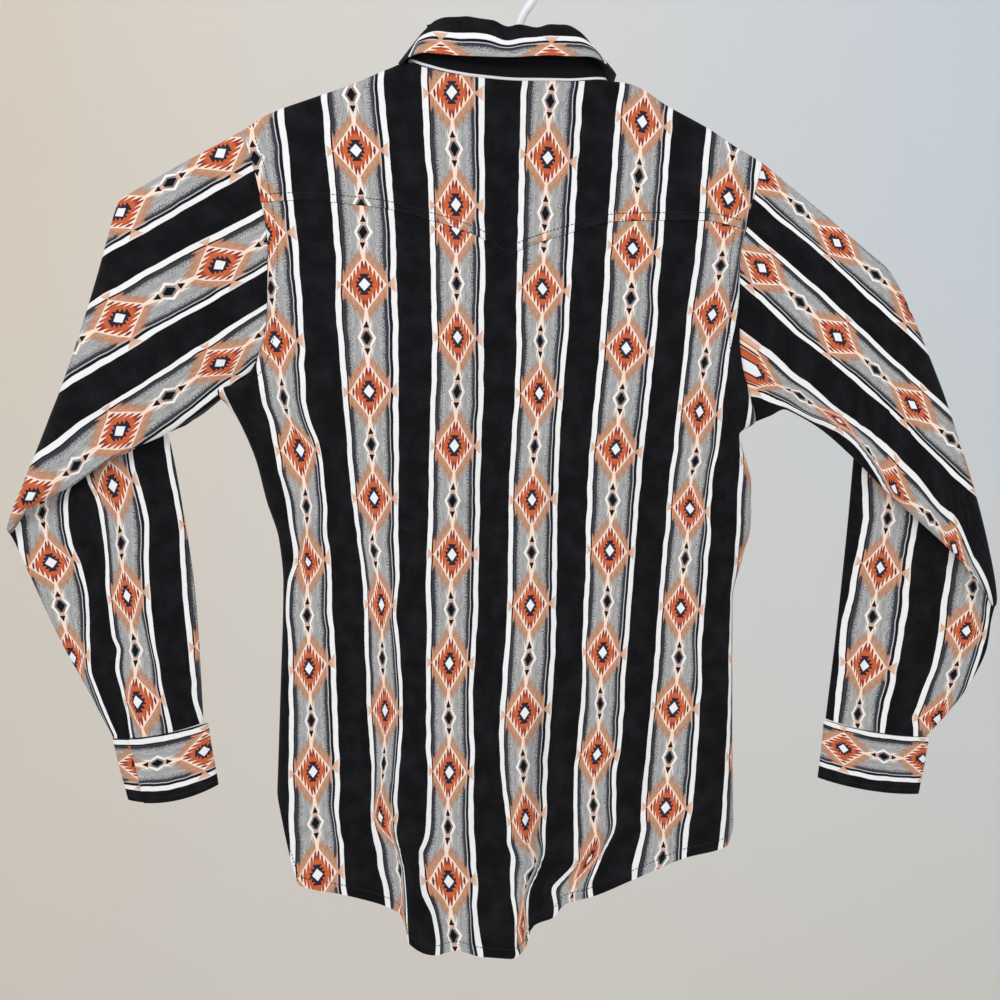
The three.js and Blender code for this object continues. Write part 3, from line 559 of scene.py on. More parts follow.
# Where folds move or hide the stripes: z, then x of left line, axis and right line
MOVED_STRIPES = {
    0: [
        (-395, -240, -218.5, -198.5), (-424, -233.4, -213.3, -195.7), (-477, -222.5, -199.1, -180.8),
        (-526, -211.7, -192, -176.2), (-553, -205.2, -192.8, -176), (-568, -201.5, -192.8, -173),
        (-583, -204, -192.8, -172), (-600, -211, -192.8, -172), (-627, -213.7, -192.8, -171.8),
    ],
    1: [
        (-560, -143.5, -132, -109), (-594, -138.7, -126.8, -108.5), (-620, -137.3, -122.6, -110.2),
        (-670, -135.1, -121.1, -105.9), (-721, -133.2, -119.2, -103.6),
        (-777, -130, -121, -107.6), (-803, -129.6, -124, -109.6), (-817, -129, -124.5, -107.5),
        (-839, -127, -117, -111.5), (-855, -126, -113, -109.5), (-870, -125, -110, -105.5),
        (-887, -122, -107.5, -103.7), (-905, -118, -105, -102), (-945, -112, -100, -97),
    ],
    2: [
        (-777, -76.8, -58.6, -39.3), (-804, -77.3, -60.2, -39.9), (-832, -77.3, -60.8, -38.6),
        (-857, -80.6, -59.7, -36.1), (-882, -77.3, -58.1, -34), (-911, -74.7, -56, -31.6),
        (-934, -71.5, -54.1, -29.5), (-948, -70, -52.7, -28.6),
    ],
    3: [
        (-811, -2.3, 14, 32.1), (-840, 0.3, 15, 30.4), (-853, 1, 17, 28.7), (-861, 0.6, 17.8, 25.3),
        (-875, 0, 11.5, 19.5), (-886, 1, 11, 16.1), (-900, 2.3, 12, 15.5), (-922, 3.6, 14, 16.6),
        (-938, 5.7, 14.5, 17), (-948, 8, 14.5, 17),
    ],
    4: [
        (-777, 61, 77.6, 95.8), (-817, 60.3, 76.5, 97), (-833, 59.5, 75.7, 94), (-842, 58.5, 73.5, 90.4),
        (-858, 57, 70, 83.7), (-876, 49, 62, 80.5), (-893, 42.3, 59.7, 78.4), (-905, 43.6, 59, 77.5),
    ],
}


def between_lines(x, marks, places):
    """Reads the print's place at x from marks across the cloth, straight between two of them."""
    u = places[0] + (x - marks[0]) / STRIPE_PITCH
    for a, b, low, high in zip(marks, marks[1:], places, places[1:]):
        u = np.where(x >= a, low + (high - low) * (x - a) / (b - a), u)
    return u


def back_print_u(x, z):
    """Stripes across: 0 on the axis of the first stripe, 1 on that of the next."""
    grounds = [table(BACK_GROUNDS, k, z) for k in range(1, 8)]
    u = np.zeros_like(x)
    for k, (start, end) in enumerate(zip(grounds[:6], grounds[1:])):
        t = (x - start) / (end - start)
        share = table(FOLDED_STRIPES[k], 1, z) if k in FOLDED_STRIPES else BAND_SHARE
        half, usual = share / 2, BAND_SHARE / 2
        outside = (0.5 - usual) / (0.5 - half)
        folded = np.where(t < 0.5 - half, t * outside, 0.5 + (t - 0.5) * usual / half)
        folded = np.where(t > 0.5 + half, 1 - (1 - t) * outside, folded)
        folded = np.where((t < 0) | (t > 1), t, folded)
        if k in MOVED_STRIPES:
            rows = MOVED_STRIPES[k]
            marks = [start, *(table(rows, i, z) for i in (1, 2, 3)), end]
            moved = between_lines(x, marks, [0, LEFT_LINE, AXIS, RIGHT_LINE, 1])
            top, bottom = rows[0][0], rows[-1][0]
            folded = mix(folded, moved, ease(top + 20, top, z) * ease(bottom - 20, bottom, z))
        inside = ((t >= 0) | (k == 0)) & ((t < 1) | (k == 5))
        u = np.where(inside, k - AXIS + folded, u)
    return u


def edge_wrap(points, across):
    """Cloth that turns away at a side edge, as print widths to add there."""
    step = np.diff(points, axis=1)
    extra = np.hypot(step[..., 0], step[..., 1]) - np.abs(step[..., 0])
    middle = (across[1:] + across[:-1]) / 2
    left = np.where(middle < 0.03, extra, 0)
    right = np.where(middle > 0.97, extra, 0)
    wrap = np.zeros(points.shape[:2])
    wrap[:, 1:] += np.cumsum(right, axis=1)
    wrap[:, :-1] -= np.cumsum(left[:, ::-1], axis=1)[:, ::-1]
    return wrap / STRIPE_PITCH


def body_panel(name, face, across, rows, top, bottom, lift, thick, print_place, seam_lift=0):
    z = mix(top[None, :], bottom[None, :], rows[:, None])
    spread = np.broadcast_to(across[None, :], z.shape)
    normal = body_normal(face, spread, z, 1)
    raised = lift + seam_lift * np.exp(-(((z - bottom[None, :]) / 5) ** 2))
    outer = body_point(face, spread, z, 1) + normal * (raised[..., None] if np.ndim(raised) else raised)
    inner = outer - normal * thick
    for grid in (outer, inner):
        grid[..., 1] = face * np.maximum(face * grid[..., 1], HALF_GAP)
    slip_x, slip_z = crease_slip(BACK_CREASES if face < 0 else FRONT_CREASES, outer[..., 0], z)
    u, v = print_place(outer[..., 0] + slip_x, z + slip_z)
    return cloth_shell(name, outer, inner, u + edge_wrap(outer, across), v, flip=face > 0)


class Measure:
    """A number of the print's chart, worked out in the material by Math nodes."""

    def __init__(self, tree, socket):
        self.tree, self.socket = tree, socket

    def work(self, operation, *others, clamp=False):
        inputs = dict(enumerate(getattr(number, "socket", number) for number in (self, *others)))
        outputs = add_node(self.tree, "Math", inputs, operation=operation, use_clamp=clamp)
        return Measure(self.tree, outputs[0])

    def __add__(self, other):
        return self.work("ADD", other)

    def __sub__(self, other):
        return self.work("SUBTRACT", other)

    def __mul__(self, other):
        return self.work("MULTIPLY", other)

    def __truediv__(self, other):
        return self.work("DIVIDE", other)
    def __abs__(self):
        return self.work("ABSOLUTE")
    def under(self, edge, soft=0.35):
        """1 where the number is under the edge, 0 above it, with a soft change over a thread."""
        gap = self - edge
        return gap.work("MULTIPLY_ADD", -1 / soft, 0.5, clamp=True)

    def over(self, edge, soft=0.35):
        gap = self - edge
        return gap.work("MULTIPLY_ADD", 1 / soft, 0.5, clamp=True)

    def high(self, other):
        return self.work("MAXIMUM", other)

    def saw(self, pitch):
        """0 in the middle of each tooth and 1 half-way to the next."""
        return abs((self / pitch).work("FRACT") - 0.5) * 2


BLACK, WHITE, GREY, SLATE = srgb(8, 8, 13), srgb(238, 238, 238), srgb(184, 184, 184), srgb(36, 39, 51)
CREAM, RUST, DEEP_RED, TAN = srgb(247, 222, 204), srgb(197, 93, 54), srgb(142, 47, 42), srgb(201, 153, 122)


def serape_cotton(name):
    """The charted print, painted from each point's place in it, over a fine twill."""
    constants = {"Sheen Weight": 0.03, "Sheen Roughness": 0.5, "Specular IOR Level": 0.1}
    material, tree, shader = new_material(name, constants)

    def scaled(place, by):
        return add_node(tree, "VectorMath", {0: place, 1: by}, operation="MULTIPLY")[0]

    def measured(texture):
        return Measure(tree, texture["Fac"])

    place = add_node(tree, "Attribute", {}, attribute_name="print_place")["Vector"]
    split = add_node(tree, "SeparateXYZ", {0: place})
    cloth = scaled(place, (STRIPE_PITCH, DIAMOND_PITCH, 1))
    strand = measured(noise(tree, cloth, 0.9)) - 0.5
    drift = add_node(tree, "SeparateColor", {0: noise(tree, cloth, 0.04, 1)["Color"]})
    sway, dip = Measure(tree, drift["Red"]) - 0.5, Measure(tree, drift["Green"]) - 0.5
    heather = measured(noise(tree, scaled(cloth, (1.1, 0.09, 1)), 1, 3))
    flecks = measured(noise(tree, scaled(cloth, (1.2, 0.5, 1)), 1.3))

    # How far a point lies beside its stripe's axis and below its diamond's middle, in millimetres
    u, v = Measure(tree, split["X"]), Measure(tree, split["Y"])
    stripe = (u + 0.5).work("FLOOR")
    side = (u - stripe) * STRIPE_PITCH + strand * 0.7 + sway * 3.4
    drop = stripe.work("MULTIPLY", 0.5).work("FRACT")
    down = ((v + 0.5 + drop).work("FRACT") - 0.5) * DIAMOND_PITCH + strand * 0.7 + dip * 2.6
    a, b = abs(side), abs(down)
    right = side.over(0, 0.01)
    edge = a - right * 2.3
    small = b.work("MULTIPLY", -1) + DIAMOND_PITCH / 2
    band = a.under(21.0)
    colour = BLACK

    def paint(mask, tone):
        nonlocal colour
        colour = blend(tree, mask.socket, colour, tone)

    # Heather: yarns of several greys that run down the stripe, between its white lines
    paint(edge.under(28.2), WHITE)
    paint(edge.under(22.7), srgb(16, 15, 20))
    paint(right * a.under(22.0), srgb(196, 196, 204))
    paint(band, GREY)
    paint(band * heather.over(0.56, 0.16) * 0.75, srgb(140, 137, 138))
    paint(band * heather.under(0.42, 0.16) * 0.7, srgb(190, 187, 184))
    paint(abs(a - 9.6).under(2.2, 3) * band * 0.3, srgb(104, 106, 114))
    speckled = (a + (flecks - 0.5) * 34).over(16.4, 2.4) * band
    paint(speckled * 0.85, SLATE)
    paint(a.over(17.8, 1.6) * band * 0.85, SLATE)

    # Tan wedges that flame out from the large diamond, then its arrows over the white
    flame = b + a * 1.2 + (heather - 0.5) * 14 + (a + 1.5).saw(5) * 6.5
    wedge = flame.under(40.8, 2.4) * band
    paint(wedge * 0.86, TAN)
    paint(wedge * heather.over(0.53, 0.14) * 0.55, srgb(214, 134, 96))
    paint(wedge * heather.under(0.45, 0.14) * 0.6, srgb(160, 122, 90))
    paint(wedge * flame.over(35, 4) * flecks.over(0.48, 0.2) * 0.5, srgb(138, 92, 66))
    wing = (b + abs(a - 20.8) * 5).under(15, 1) * band
    paint(wing, srgb(214, 140, 112))
    arrow = (b - (a - 20.8) * 0.9).under(0) * a.over(20.6) * edge.under(27.0, 2)
    paint(arrow * 0.85, srgb(217, 164, 132))

    # Cream neck between the diamonds' tips, narrow at the large one and spreading to the small one
    paint((a - b * 0.15).under(-2.4) * b.under(41.6) * b.over(24), CREAM)

    # Large diamond: cream line, rust field, and cream teeth that point in from the line
    gap = b + a * 1.333
    diamond = gap.under(27.6, 0.4)
    paint(diamond, CREAM)
    field = gap.under(25.6, 0.4)
    paint(field, RUST)
    paint(field * heather.over(0.55, 0.1) * 0.35, srgb(218, 122, 66))
    paint(field * b.over(16, 4).high(a.over(13, 2)), DEEP_RED)
    paint(field * a.over(15, 0.6), srgb(104, 38, 42))
    room = (gap - 27.6) * -0.088
    paint(((a + 2.725).saw(3.65) + room).under(0.92, 0.12) * field, srgb(128, 44, 44))
    paint(((a + 1.825).saw(3.65) + room).under(0.87, 0.12) * diamond, CREAM)

    # Dark toothed wheel and pale diamond in its middle
    ring = a + b * 0.528 + ((b + 0.6) / 3.6).work("FRACT") * -3.8
    paint(ring.under(6.2) * b.under(10.4), srgb(38, 36, 54))
    paint((a / 5.3 + b / 6.3).under(1.0, 0.09), srgb(238, 238, 240))

    # Small black diamond half-way: cream round it, flames and a black tip beyond
    paint((a + small * 0.6).under(9.2) * small.under(11.5), srgb(242, 236, 230))
    beyond = small - 9
    spike = abs(a - 3.6 - beyond * 0.22) + beyond * 0.14
    paint(spike.under(1.25) * small.over(9.0), srgb(240, 230, 220))
    paint((a / 6.1 + small / 12.0).under(1.0, 0.06), srgb(128, 120, 122))
    paint((a / 3.3 + abs(small - 8.6) / 3.0).under(1.0, 0.1), srgb(206, 166, 148))
    paint((a / 4.2 + small / 7.3).under(1.0, 0.06), srgb(10, 9, 13))
    paint((a + small * 0.45).under(7.7) * small.over(10.2), srgb(20, 16, 20))

    # Wear: a slow change of tone, paler yarns in the black, and the duller back of the cloth
    worn = measured(noise(tree, cloth, 0.045, 4))
    paint(worn.over(0.62, 0.4) * 0.05, srgb(120, 120, 128))
    paint(flecks.over(0.6, 0.12) * 0.03, srgb(150, 150, 160))
    paint(Measure(tree, split["Z"]) * 0.3, srgb(112, 110, 112))

    # Weave: a twill of fine yarns, and puckers of a finger's width
    warp, weft = (side * 7.4).work("SINE"), (down * 7.4).work("SINE")
    twill = ((side + down) * 3.7).work("SINE") * 0.5 + warp * weft * 0.5
    pucker = noise(tree, cloth, 0.07, 5, Roughness=0.6)["Fac"]
    weave = bump(tree, twill.socket, 0.22, 0.00022)
    feed(tree, shader, {
        "Base Color": colour,
        "Roughness": add_node(tree, "MapRange", {"Value": flecks.socket, "To Min": 0.72, "To Max": 0.95})[0],
        "Normal": bump(tree, pucker, 0.35, 0.004, Normal=weave),
    })
    return material


cotton = serape_cotton("serape_striped_cotton")


def back_print(x, z):
    first, last = table(FIRST_ROW, 1, x), table(LAST_ROW, 1, x)
    sag = 6.5 * ease(-155, -185, x) * np.sin(math.pi * ease(-360, -900, z))
    return back_print_u(x, z), 5 * (first - z - sag) / (first - last)


BACK_COLUMNS = 150
back_across = columns_between(0, 1, BACK_COLUMNS)
back = body_panel(
    "shirt_back", -1, back_across, np.linspace(0, 1, 215), height_on(YOKE_SEAM, back_across) - HALF_GAP,
    height_on(BACK_HEM, back_across), 0, CLOTH, back_print,
)
back.data.materials.append(cotton)
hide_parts("back")


# Back yoke: a second cut over the shoulders with the western point in its lower edge.
# It is folded under along the edge and sewn down on the back with two rows of thread.
YOKE_PITCH = 106.4


def yoke_print(x, z):
    return back_print_u(x, z), -1.5 + (table(YOKE_ROW, 1, x) - z) / YOKE_PITCH


yoke_across = columns_between(0, 1, BACK_COLUMNS)
yoke_rows = np.concatenate([np.linspace(0, 0.1, 14, endpoint=False), np.linspace(0.1, 1, 36)])
yoke = body_panel(
    "back_yoke_cloth", -1, yoke_across, yoke_rows, top_on(-1, yoke_across),
    height_on(YOKE_SEAM, yoke_across) + HALF_GAP, 0, CLOTH, yoke_print, 0.9,
)
yoke.data.materials.append(cotton)
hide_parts("back_yoke")


# Fronts: two cuts that lap at the middle under the placket, the wearer's left over the right.
# They hang behind the back and show at the neck, at the hem and from the front.
FRONT_PITCH = 86


def front_print(x, z):
    shoulder = 0.42 * np.abs(x - CENTRE) * ease(-420, -160, z)
    u = (x - CENTRE) / FRONT_PITCH + 0.5 + 0.06 * np.sin(z / 120)
    return u, (-z - shoulder) / DIAMOND_PITCH + 0.2


front_rows = np.concatenate([np.linspace(0, 0.05, 14, endpoint=False), np.linspace(0.05, 1, 190)])
LAP_START, LAP_END = 0.466, 0.534
left_across = columns_between(0, LAP_END, 84)
front_left = body_panel(
    "front_left_cloth", 1, left_across, front_rows, top_on(1, left_across),
    height_on(FRONT_HEM, left_across), 0, CLOTH, front_print,
)
right_across = columns_between(LAP_START, 1, 84)
under_lap = -2 * ease(0.636, 0.551, right_across)[None, :]
front_right = body_panel(
    "front_right_cloth", 1, right_across, front_rows, top_on(1, right_across),
    height_on(FRONT_HEM, right_across), under_lap, CLOTH, front_print,
)
for piece, node in ((front_left, "front_left"), (front_right, "front_right")):
    piece.data.materials.append(cotton)
    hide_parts(node)


# Placket: a folded band down the left front, which carries the snaps.
# It is sewn along both its long edges.
placket_across = np.linspace(LAP_START, LAP_END, 13)
placket = body_panel(
    "placket_band", 1, placket_across, front_rows, top_on(1, placket_across),
    height_on(FRONT_HEM, placket_across), 1.9, 1.5, front_print,
)
placket.data.materials.append(cotton)
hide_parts("placket")


# Sleeves: one cut each, sewn into the armhole, hanging flat and folded back at the elbow.
# The lower arm goes down behind the upper arm.
LEFT_SLEEVE = {
    "side": -1, "edge": LEFT_EDGE, "armhole": LEFT_ARMHOLE, "elbow_bow": -12, "end_bow": 4,
    "under": [(0, 0), (0.23, -5), (0.52, 3), (0.67, 1.5), (0.74, 4), (0.86, 8), (0.94, 11), (1, 2)],
    "lower": [
        (0, -370.5, -234.6, -479, -552), (0.3, -340, -400, -456, -602), (0.55, -318, -505, -431, -655),
        (0.8, -301, -620, -403, -706), (1, -294, -735, -380, -749),
    ],
    "creases": [
        (-262, -392, -300, -372, 6, 2.2), (-255, -402, -310, -395, 6, -2.4), (-270, -330, -330, -352, 9, 1.6),
        (-300, -240, -360, -300, 10, -1.8), (-330, -400, -420, -440, 10, 2), (-400, -480, -460, -540, 9, -2.2),
        (-360, -470, -440, -520, 8, 1.8), (-430, -560, -400, -640, 8, 2), (-390, -560, -340, -700, 9, -2),
        (-350, -640, -330, -735, 7, 2.4), (-370, -690, -362, -742, 5, -2.4), (-312, -700, -308, -735, 5, 2),
        (-440, -500, -470, -530, 6, 1.6),
    ],
}
RIGHT_SLEEVE = {
    "side": 1, "edge": RIGHT_EDGE, "armhole": RIGHT_ARMHOLE, "elbow_bow": 10, "end_bow": 4,
    "under": [
        (0, 0), (0.06, 16), (0.13, 34), (0.28, 40), (0.41, 36), (0.53, 29), (0.68, 24), (0.8, 20),
        (0.9, 12), (1, 0),
    ],
    "lower": [
        (0, 356, -300, 461, -622), (0.3, 331, -450, 456, -660), (0.55, 322, -545, 440, -695),
        (0.8, 312, -640, 420, -722), (1, 301, -731, 397, -747),
    ],
    "creases": [
        (232, -430, 300, -448, 6, 2.4), (228, -415, 280, -418, 7, -2.4), (246, -360, 320, -400, 9, 1.8),
        (270, -260, 330, -320, 10, -1.8), (320, -380, 400, -470, 10, 2), (360, -440, 430, -540, 8, -2),
        (400, -500, 450, -600, 8, 1.8), (350, -520, 338, -640, 8, 2), (400, -600, 380, -700, 9, -2.2),
        (330, -660, 326, -725, 6, 2.4), (372, -690, 366, -740, 6, -2.4), (430, -640, 400, -700, 7, 1.8),
    ],
}

SEAM_GAP, SLEEVE_HALF_DEPTH, ELBOW_RADIUS = 0.3, 8, 10


def sleeve_middle(sleeve, along, across):
    """The middle sheet of the flat tube: along is 0 to 1 down the upper arm, 1 to 2 down the lower."""
    lower, side = sleeve["lower"], sleeve["side"]
    top, bottom = lower[0][1:3], lower[0][3:5]
    arch = 4 * across * (1 - across)
    bow = arch * sleeve["elbow_bow"] * side
    fold_x, fold_z = mix(top[0], bottom[0], across) + bow, mix(top[1], bottom[1], across)
    start_z = mix(*sleeve["armhole"], across)
    start_x = table(sleeve["edge"], 1, start_z) + SEAM_GAP * side
    upper_x = mix(start_x, fold_x, along)
    upper_z = mix(start_z, fold_z, along) + table(sleeve["under"], 1, along) * across * across
    down = np.clip(along - 1, 0, 1)
    lower_x = mix(table(lower, 1, down), table(lower, 3, down), across) + bow * (1 - down) ** 2
    lower_z = mix(table(lower, 2, down), table(lower, 4, down), across)
    lower_z = lower_z - sleeve["end_bow"] * arch * down * down
    upper = along <= 1
    x, z = np.where(upper, upper_x, lower_x), np.where(upper, upper_z, lower_z)
    line_x, line_z = bottom[0] - top[0], bottom[1] - top[1]
    from_fold = np.abs((x - fold_x) * line_z - (z - fold_z) * line_x) / math.hypot(line_x, line_z)
    near = 1 - np.minimum(from_fold / ELBOW_RADIUS, 1)
    turn = ELBOW_RADIUS * np.sqrt(1 - near * near)
    return np.stack([x, np.where(upper, -turn * ease(0, 0.55, along), turn), z], axis=-1)


def sleeve_point(sleeve, along, turn, inset):
    """A point on the sleeve's outer face, or inset within its cloth, turned round the tube."""
    across = (1 - np.cos(turn)) / 2
    layer = np.where(np.sin(turn) >= 0, 1.0, -1.0)
    start_z = mix(*sleeve["armhole"], across)
    side = np.full_like(across, 0.0 if sleeve["side"] < 0 else 1.0)
    behind, before = (np.abs(body_point(face, side, start_z)[..., 1]) for face in (-1, 1))
    at_body = np.where(layer > 0, behind, before)
    depth = mix(at_body, SLEEVE_HALF_DEPTH * fullness(across), ease(0, 0.3, along))
    ends = [sleeve_middle(sleeve, along, np.full_like(across, k)) for k in (0.0, 1.0)]
    width = np.linalg.norm(ends[1] - ends[0], axis=-1)
    kept = 0.5 + (across - 0.5) * (1 - 2 * inset / width)
    step = 0.004
    a = sleeve_middle(sleeve, np.maximum(0, along - step), kept)
    b = sleeve_middle(sleeve, np.minimum(2, along + step), kept)
    c = sleeve_middle(sleeve, along, np.clip(kept - step, 0, 1))
    d = sleeve_middle(sleeve, along, np.clip(kept + step, 0, 1))
    normal = np.cross(b - a, d - c)
    normal *= -sleeve["side"] / np.linalg.norm(normal, axis=-1)[..., None]
    middle = sleeve_middle(sleeve, along, kept)
    x, z = middle[..., 0], middle[..., 2]
    unevenness = crease_height(sleeve["creases"], x, z) + ripple(x + 90, z)
    soft = unevenness * fullness(across) * ease(0, 0.12, along)
    offset = layer * depth * (1 - inset / SLEEVE_HALF_DEPTH) + layer * soft
    return middle + normal * offset[..., None]


def stripes_between(position, lines):
    """Print places from the positions of stripe axes 0, 1, 2 that run across the reading."""
    a, b, c = lines
    upper = (position - a) / (b - a)
    return np.where(upper < 1, upper, 1 + (position - b) / (c - b))


# Lower left arm: z, then x of the first stripe's upper white line, axis and lower white line,
# and the same for the second stripe
LOWER_LEFT_STRIPES = [
    (-440, -478, -455, -412, -404, -386, -368), (-482, -476, -453, -416, -408, -383, -362),
    (-506, -474, -450, -420, -400, -379, -356), (-522, -473, -448, -422, -392, -376, -351.5),
    (-541, -471, -445.5, -423, -388, -374, -348), (-561, -469, -443, -419.5, -385.5, -371, -347),
    (-581, -467, -440.5, -411, -385.5, -369.5, -347), (-601, -462, -436, -406, -386, -368, -345.5),
    (-621, -457, -431.5, -404, -383.5, -366, -343.5), (-651, -449, -424, -404, -381, -363.5, -339),
    (-665, -446, -420, -403.5, -376, -362, -337), (-681, -442, -416.5, -403, -376.5, -361, -335),
    (-701, -436.5, -411, -396.5, -374, -358.5, -333), (-722, -431, -404, -389, -368.5, -355, -328.5),
    (-746, -425, -397.5, -377.5, -362.5, -349.5, -323.5),
]
LINE_BEFORE, LINE_AFTER = -25.5 / STRIPE_PITCH, 27.7 / STRIPE_PITCH
# Heights of the diamonds on those two stripes, with their place in the print
FIRST_DIAMONDS = [(-440, -1.45), (-534, -0.5), (-581, 0), (-622, 0.5), (-671, 1), (-765, 2)]
SECOND_DIAMONDS = [(-440, -1.2), (-509, -0.5), (-561.5, 0), (-612, 0.5), (-665, 1), (-713, 1.5), (-765, 2)]


UPPER_LEFT_PITCH, ELBOW_LEFT_PITCH = 94.5, 86


def left_sleeve_print(x, z, along):
    axes = (-191 + 0.59 * (x + 275.5), -298.3 + 0.53 * (x + 276.5), -391.4 + 0.7 * (x + 278.4))
    u = stripes_between(z, axes)
    v = (-276 - x) / UPPER_LEFT_PITCH + 0.5 * u
    past_elbow = np.maximum(0, -370.5 - x) * ease(1.3, 1.7, u)
    v = v + past_elbow * (1 / ELBOW_LEFT_PITCH - 1 / UPPER_LEFT_PITCH)
    marks = [table(LOWER_LEFT_STRIPES, k, z) for k in range(1, 7)]
    places = [LINE_BEFORE, 0, LINE_AFTER, 1 + LINE_BEFORE, 1, 1 + LINE_AFTER, 2]
    lower_u = between_lines(x, marks + [marks[4] + 78], places)
    lower_v = mix(table(FIRST_DIAMONDS, 1, z), table(SECOND_DIAMONDS, 1, z), lower_u)
    return np.where(along <= 1, u, lower_u), np.where(along <= 1, v, lower_v)


# The third stripe of the right sleeve is caught in the fold under the arm:
# its upper white line, its axis and its lower white line by x, and its place in the print
CAUGHT_UPPER = [
    (212, -358), (233, -374), (258, -395), (281, -414), (311, -440), (336, -458), (359, -479),
    (383, -504.5), (403, -530), (421.5, -547), (435.6, -577), (451, -603), (456, -618), (463, -645),
]
CAUGHT_AXIS = [
    (212, -388), (233, -398), (275, -421.5), (311, -445.5), (341, -479.8), (363, -512),
    (398, -539.6), (419, -568), (441, -599), (452, -628), (463, -655),
]
CAUGHT_LOWER = [
    (212, -416), (233, -419), (259, -428), (285, -442), (315, -455), (341, -484.5), (354, -506),
    (398, -566), (455, -642),
]
CAUGHT_ROWS = [(233, 0), (311, 1), (363, 2), (398, 2.55), (419, 3), (441, 3.5)]
HALF_BAND = 25.5 / STRIPE_PITCH


def second_axis(x):
    return -296.4 - 0.9 * (x - 233.7)


def squeezed_stripe(x, z, u, v):
    upper, axis, lower = (table(rows, 1, x) for rows in (CAUGHT_UPPER, CAUGHT_AXIS, CAUGHT_LOWER))
    second = second_axis(x)
    middle = (second + upper) / 2
    near = mix(1.5, 2 - HALF_BAND, np.clip((middle - z) / ((second - upper) / 2), 0, 1))
    near = np.where(z < upper, mix(2 - HALF_BAND, 2, (upper - z) / (upper - axis)), near)
    near = np.where(z < axis, mix(2, 2 + HALF_BAND, (axis - z) / (axis - lower)), near)
    near = np.where(z < lower, 2 + HALF_BAND + (lower - z) / STRIPE_PITCH, near)
    caught = z < middle
    return np.where(caught, near, np.minimum(u, 1.5)), np.where(caught, table(CAUGHT_ROWS, 1, x), v)


# Lower right arm: z, then x of the axes of its two stripes
LOWER_RIGHT_AXES = [(-537, 361, 447), (-585, 353, 443), (-646, 343, 437), (-689, 337, 425), (-729, 331, 408)]
UPPER_RIGHT_PITCH = 71.7


def right_sleeve_print(x, z, along):
    axes = (-215.7 - 0.886 * (x - 242.3), second_axis(x), -397.1 - 0.885 * (x - 233.7))
    u = stripes_between(z, axes)
    u, v = squeezed_stripe(x, z, u, (x - 238) / UPPER_RIGHT_PITCH + 0.5 * u)
    first, second = (table(LOWER_RIGHT_AXES, k, z) for k in (1, 2))
    lower_u = stripes_between(x, (first, second, second + 56))
    lower_v = mix((-585.2 - z) / 93, 0.5 + (-646 - z) / 84, lower_u)
    return np.where(along <= 1, u, lower_u), np.where(along <= 1, v, lower_v)


sleeve_rows = np.concatenate([
    np.linspace(0, 0.9, 62, endpoint=False), np.linspace(0.9, 1, 20),
    np.linspace(1.003, 1.1, 20, endpoint=False), np.linspace(1.1, 1.997, 66),
])
sleeve_turns = np.linspace(0, 2 * math.pi, 128, endpoint=False)
along, turn = np.meshgrid(sleeve_rows, sleeve_turns, indexing="ij")
sleeves = []
for name, node, sleeve, sleeve_print in (
    ("left_sleeve", "sleeve_left", LEFT_SLEEVE, left_sleeve_print),
    ("right_sleeve", "sleeve_right", RIGHT_SLEEVE, right_sleeve_print),
):
    outer = sleeve_point(sleeve, along, turn, 0)
    inner = sleeve_point(sleeve, along, turn, CLOTH)
    slip_x, slip_z = crease_slip(sleeve["creases"], outer[..., 0], outer[..., 2])
    u, v = sleeve_print(outer[..., 0] + slip_x, outer[..., 2] + slip_z, along)
    piece = cloth_shell(name, outer, inner, u, v, around=True, flip=sleeve["side"] > 0)
    piece.data.materials.append(cotton)
    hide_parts(node)
    sleeves.append(piece)


# Cuffs: a doubled band round each wrist whose end laps over its start.
# It is stiffer than the sleeve and sewn on its lower edge.
# Corners as x and z, what the middle of each edge hangs lower, and the turns of the end and the snaps
LEFT_CUFF = {
    "side": -1, "top": (-292, -734.4, -381, -749, 4), "bottom": (-282, -793, -366, -807, 8),
    "start": 1.3, "snap_turn": 1.5 * math.pi,
}
RIGHT_CUFF = {
    "side": 1, "top": (300, -731.2, 398, -747, 4), "bottom": (294, -786, 388, -801, 4),
    "start": 4.44, "snap_turn": 3.5 * math.pi,
}
LAP_SWELL = 2.6


def cuff_point(cuff, down, turn, inset):
    across = (1 - np.cos(turn)) / 2
    edges = zip(cuff["top"], cuff["bottom"])
    inner_x, inner_z, outer_x, outer_z, bow = (mix(top, bottom, down) for top, bottom in edges)
    wound = (turn - cuff["start"]) / (2 * math.pi)
    swell = LAP_SWELL * ease(0.05, 1, wound) - inset
    width = np.hypot(outer_x - inner_x, outer_z - inner_z)
    kept = 0.5 + (across - 0.5) * (1 + 2 * swell / width)
    depth = np.sign(np.sin(turn)) * (SLEEVE_HALF_DEPTH + swell) * fullness(across)
    hang = 4 * across * (1 - across) * bow
    x, z = mix(inner_x, outer_x, kept), mix(inner_z, outer_z, kept) - hang
    return np.stack([x, ELBOW_RADIUS - depth, z], axis=-1)


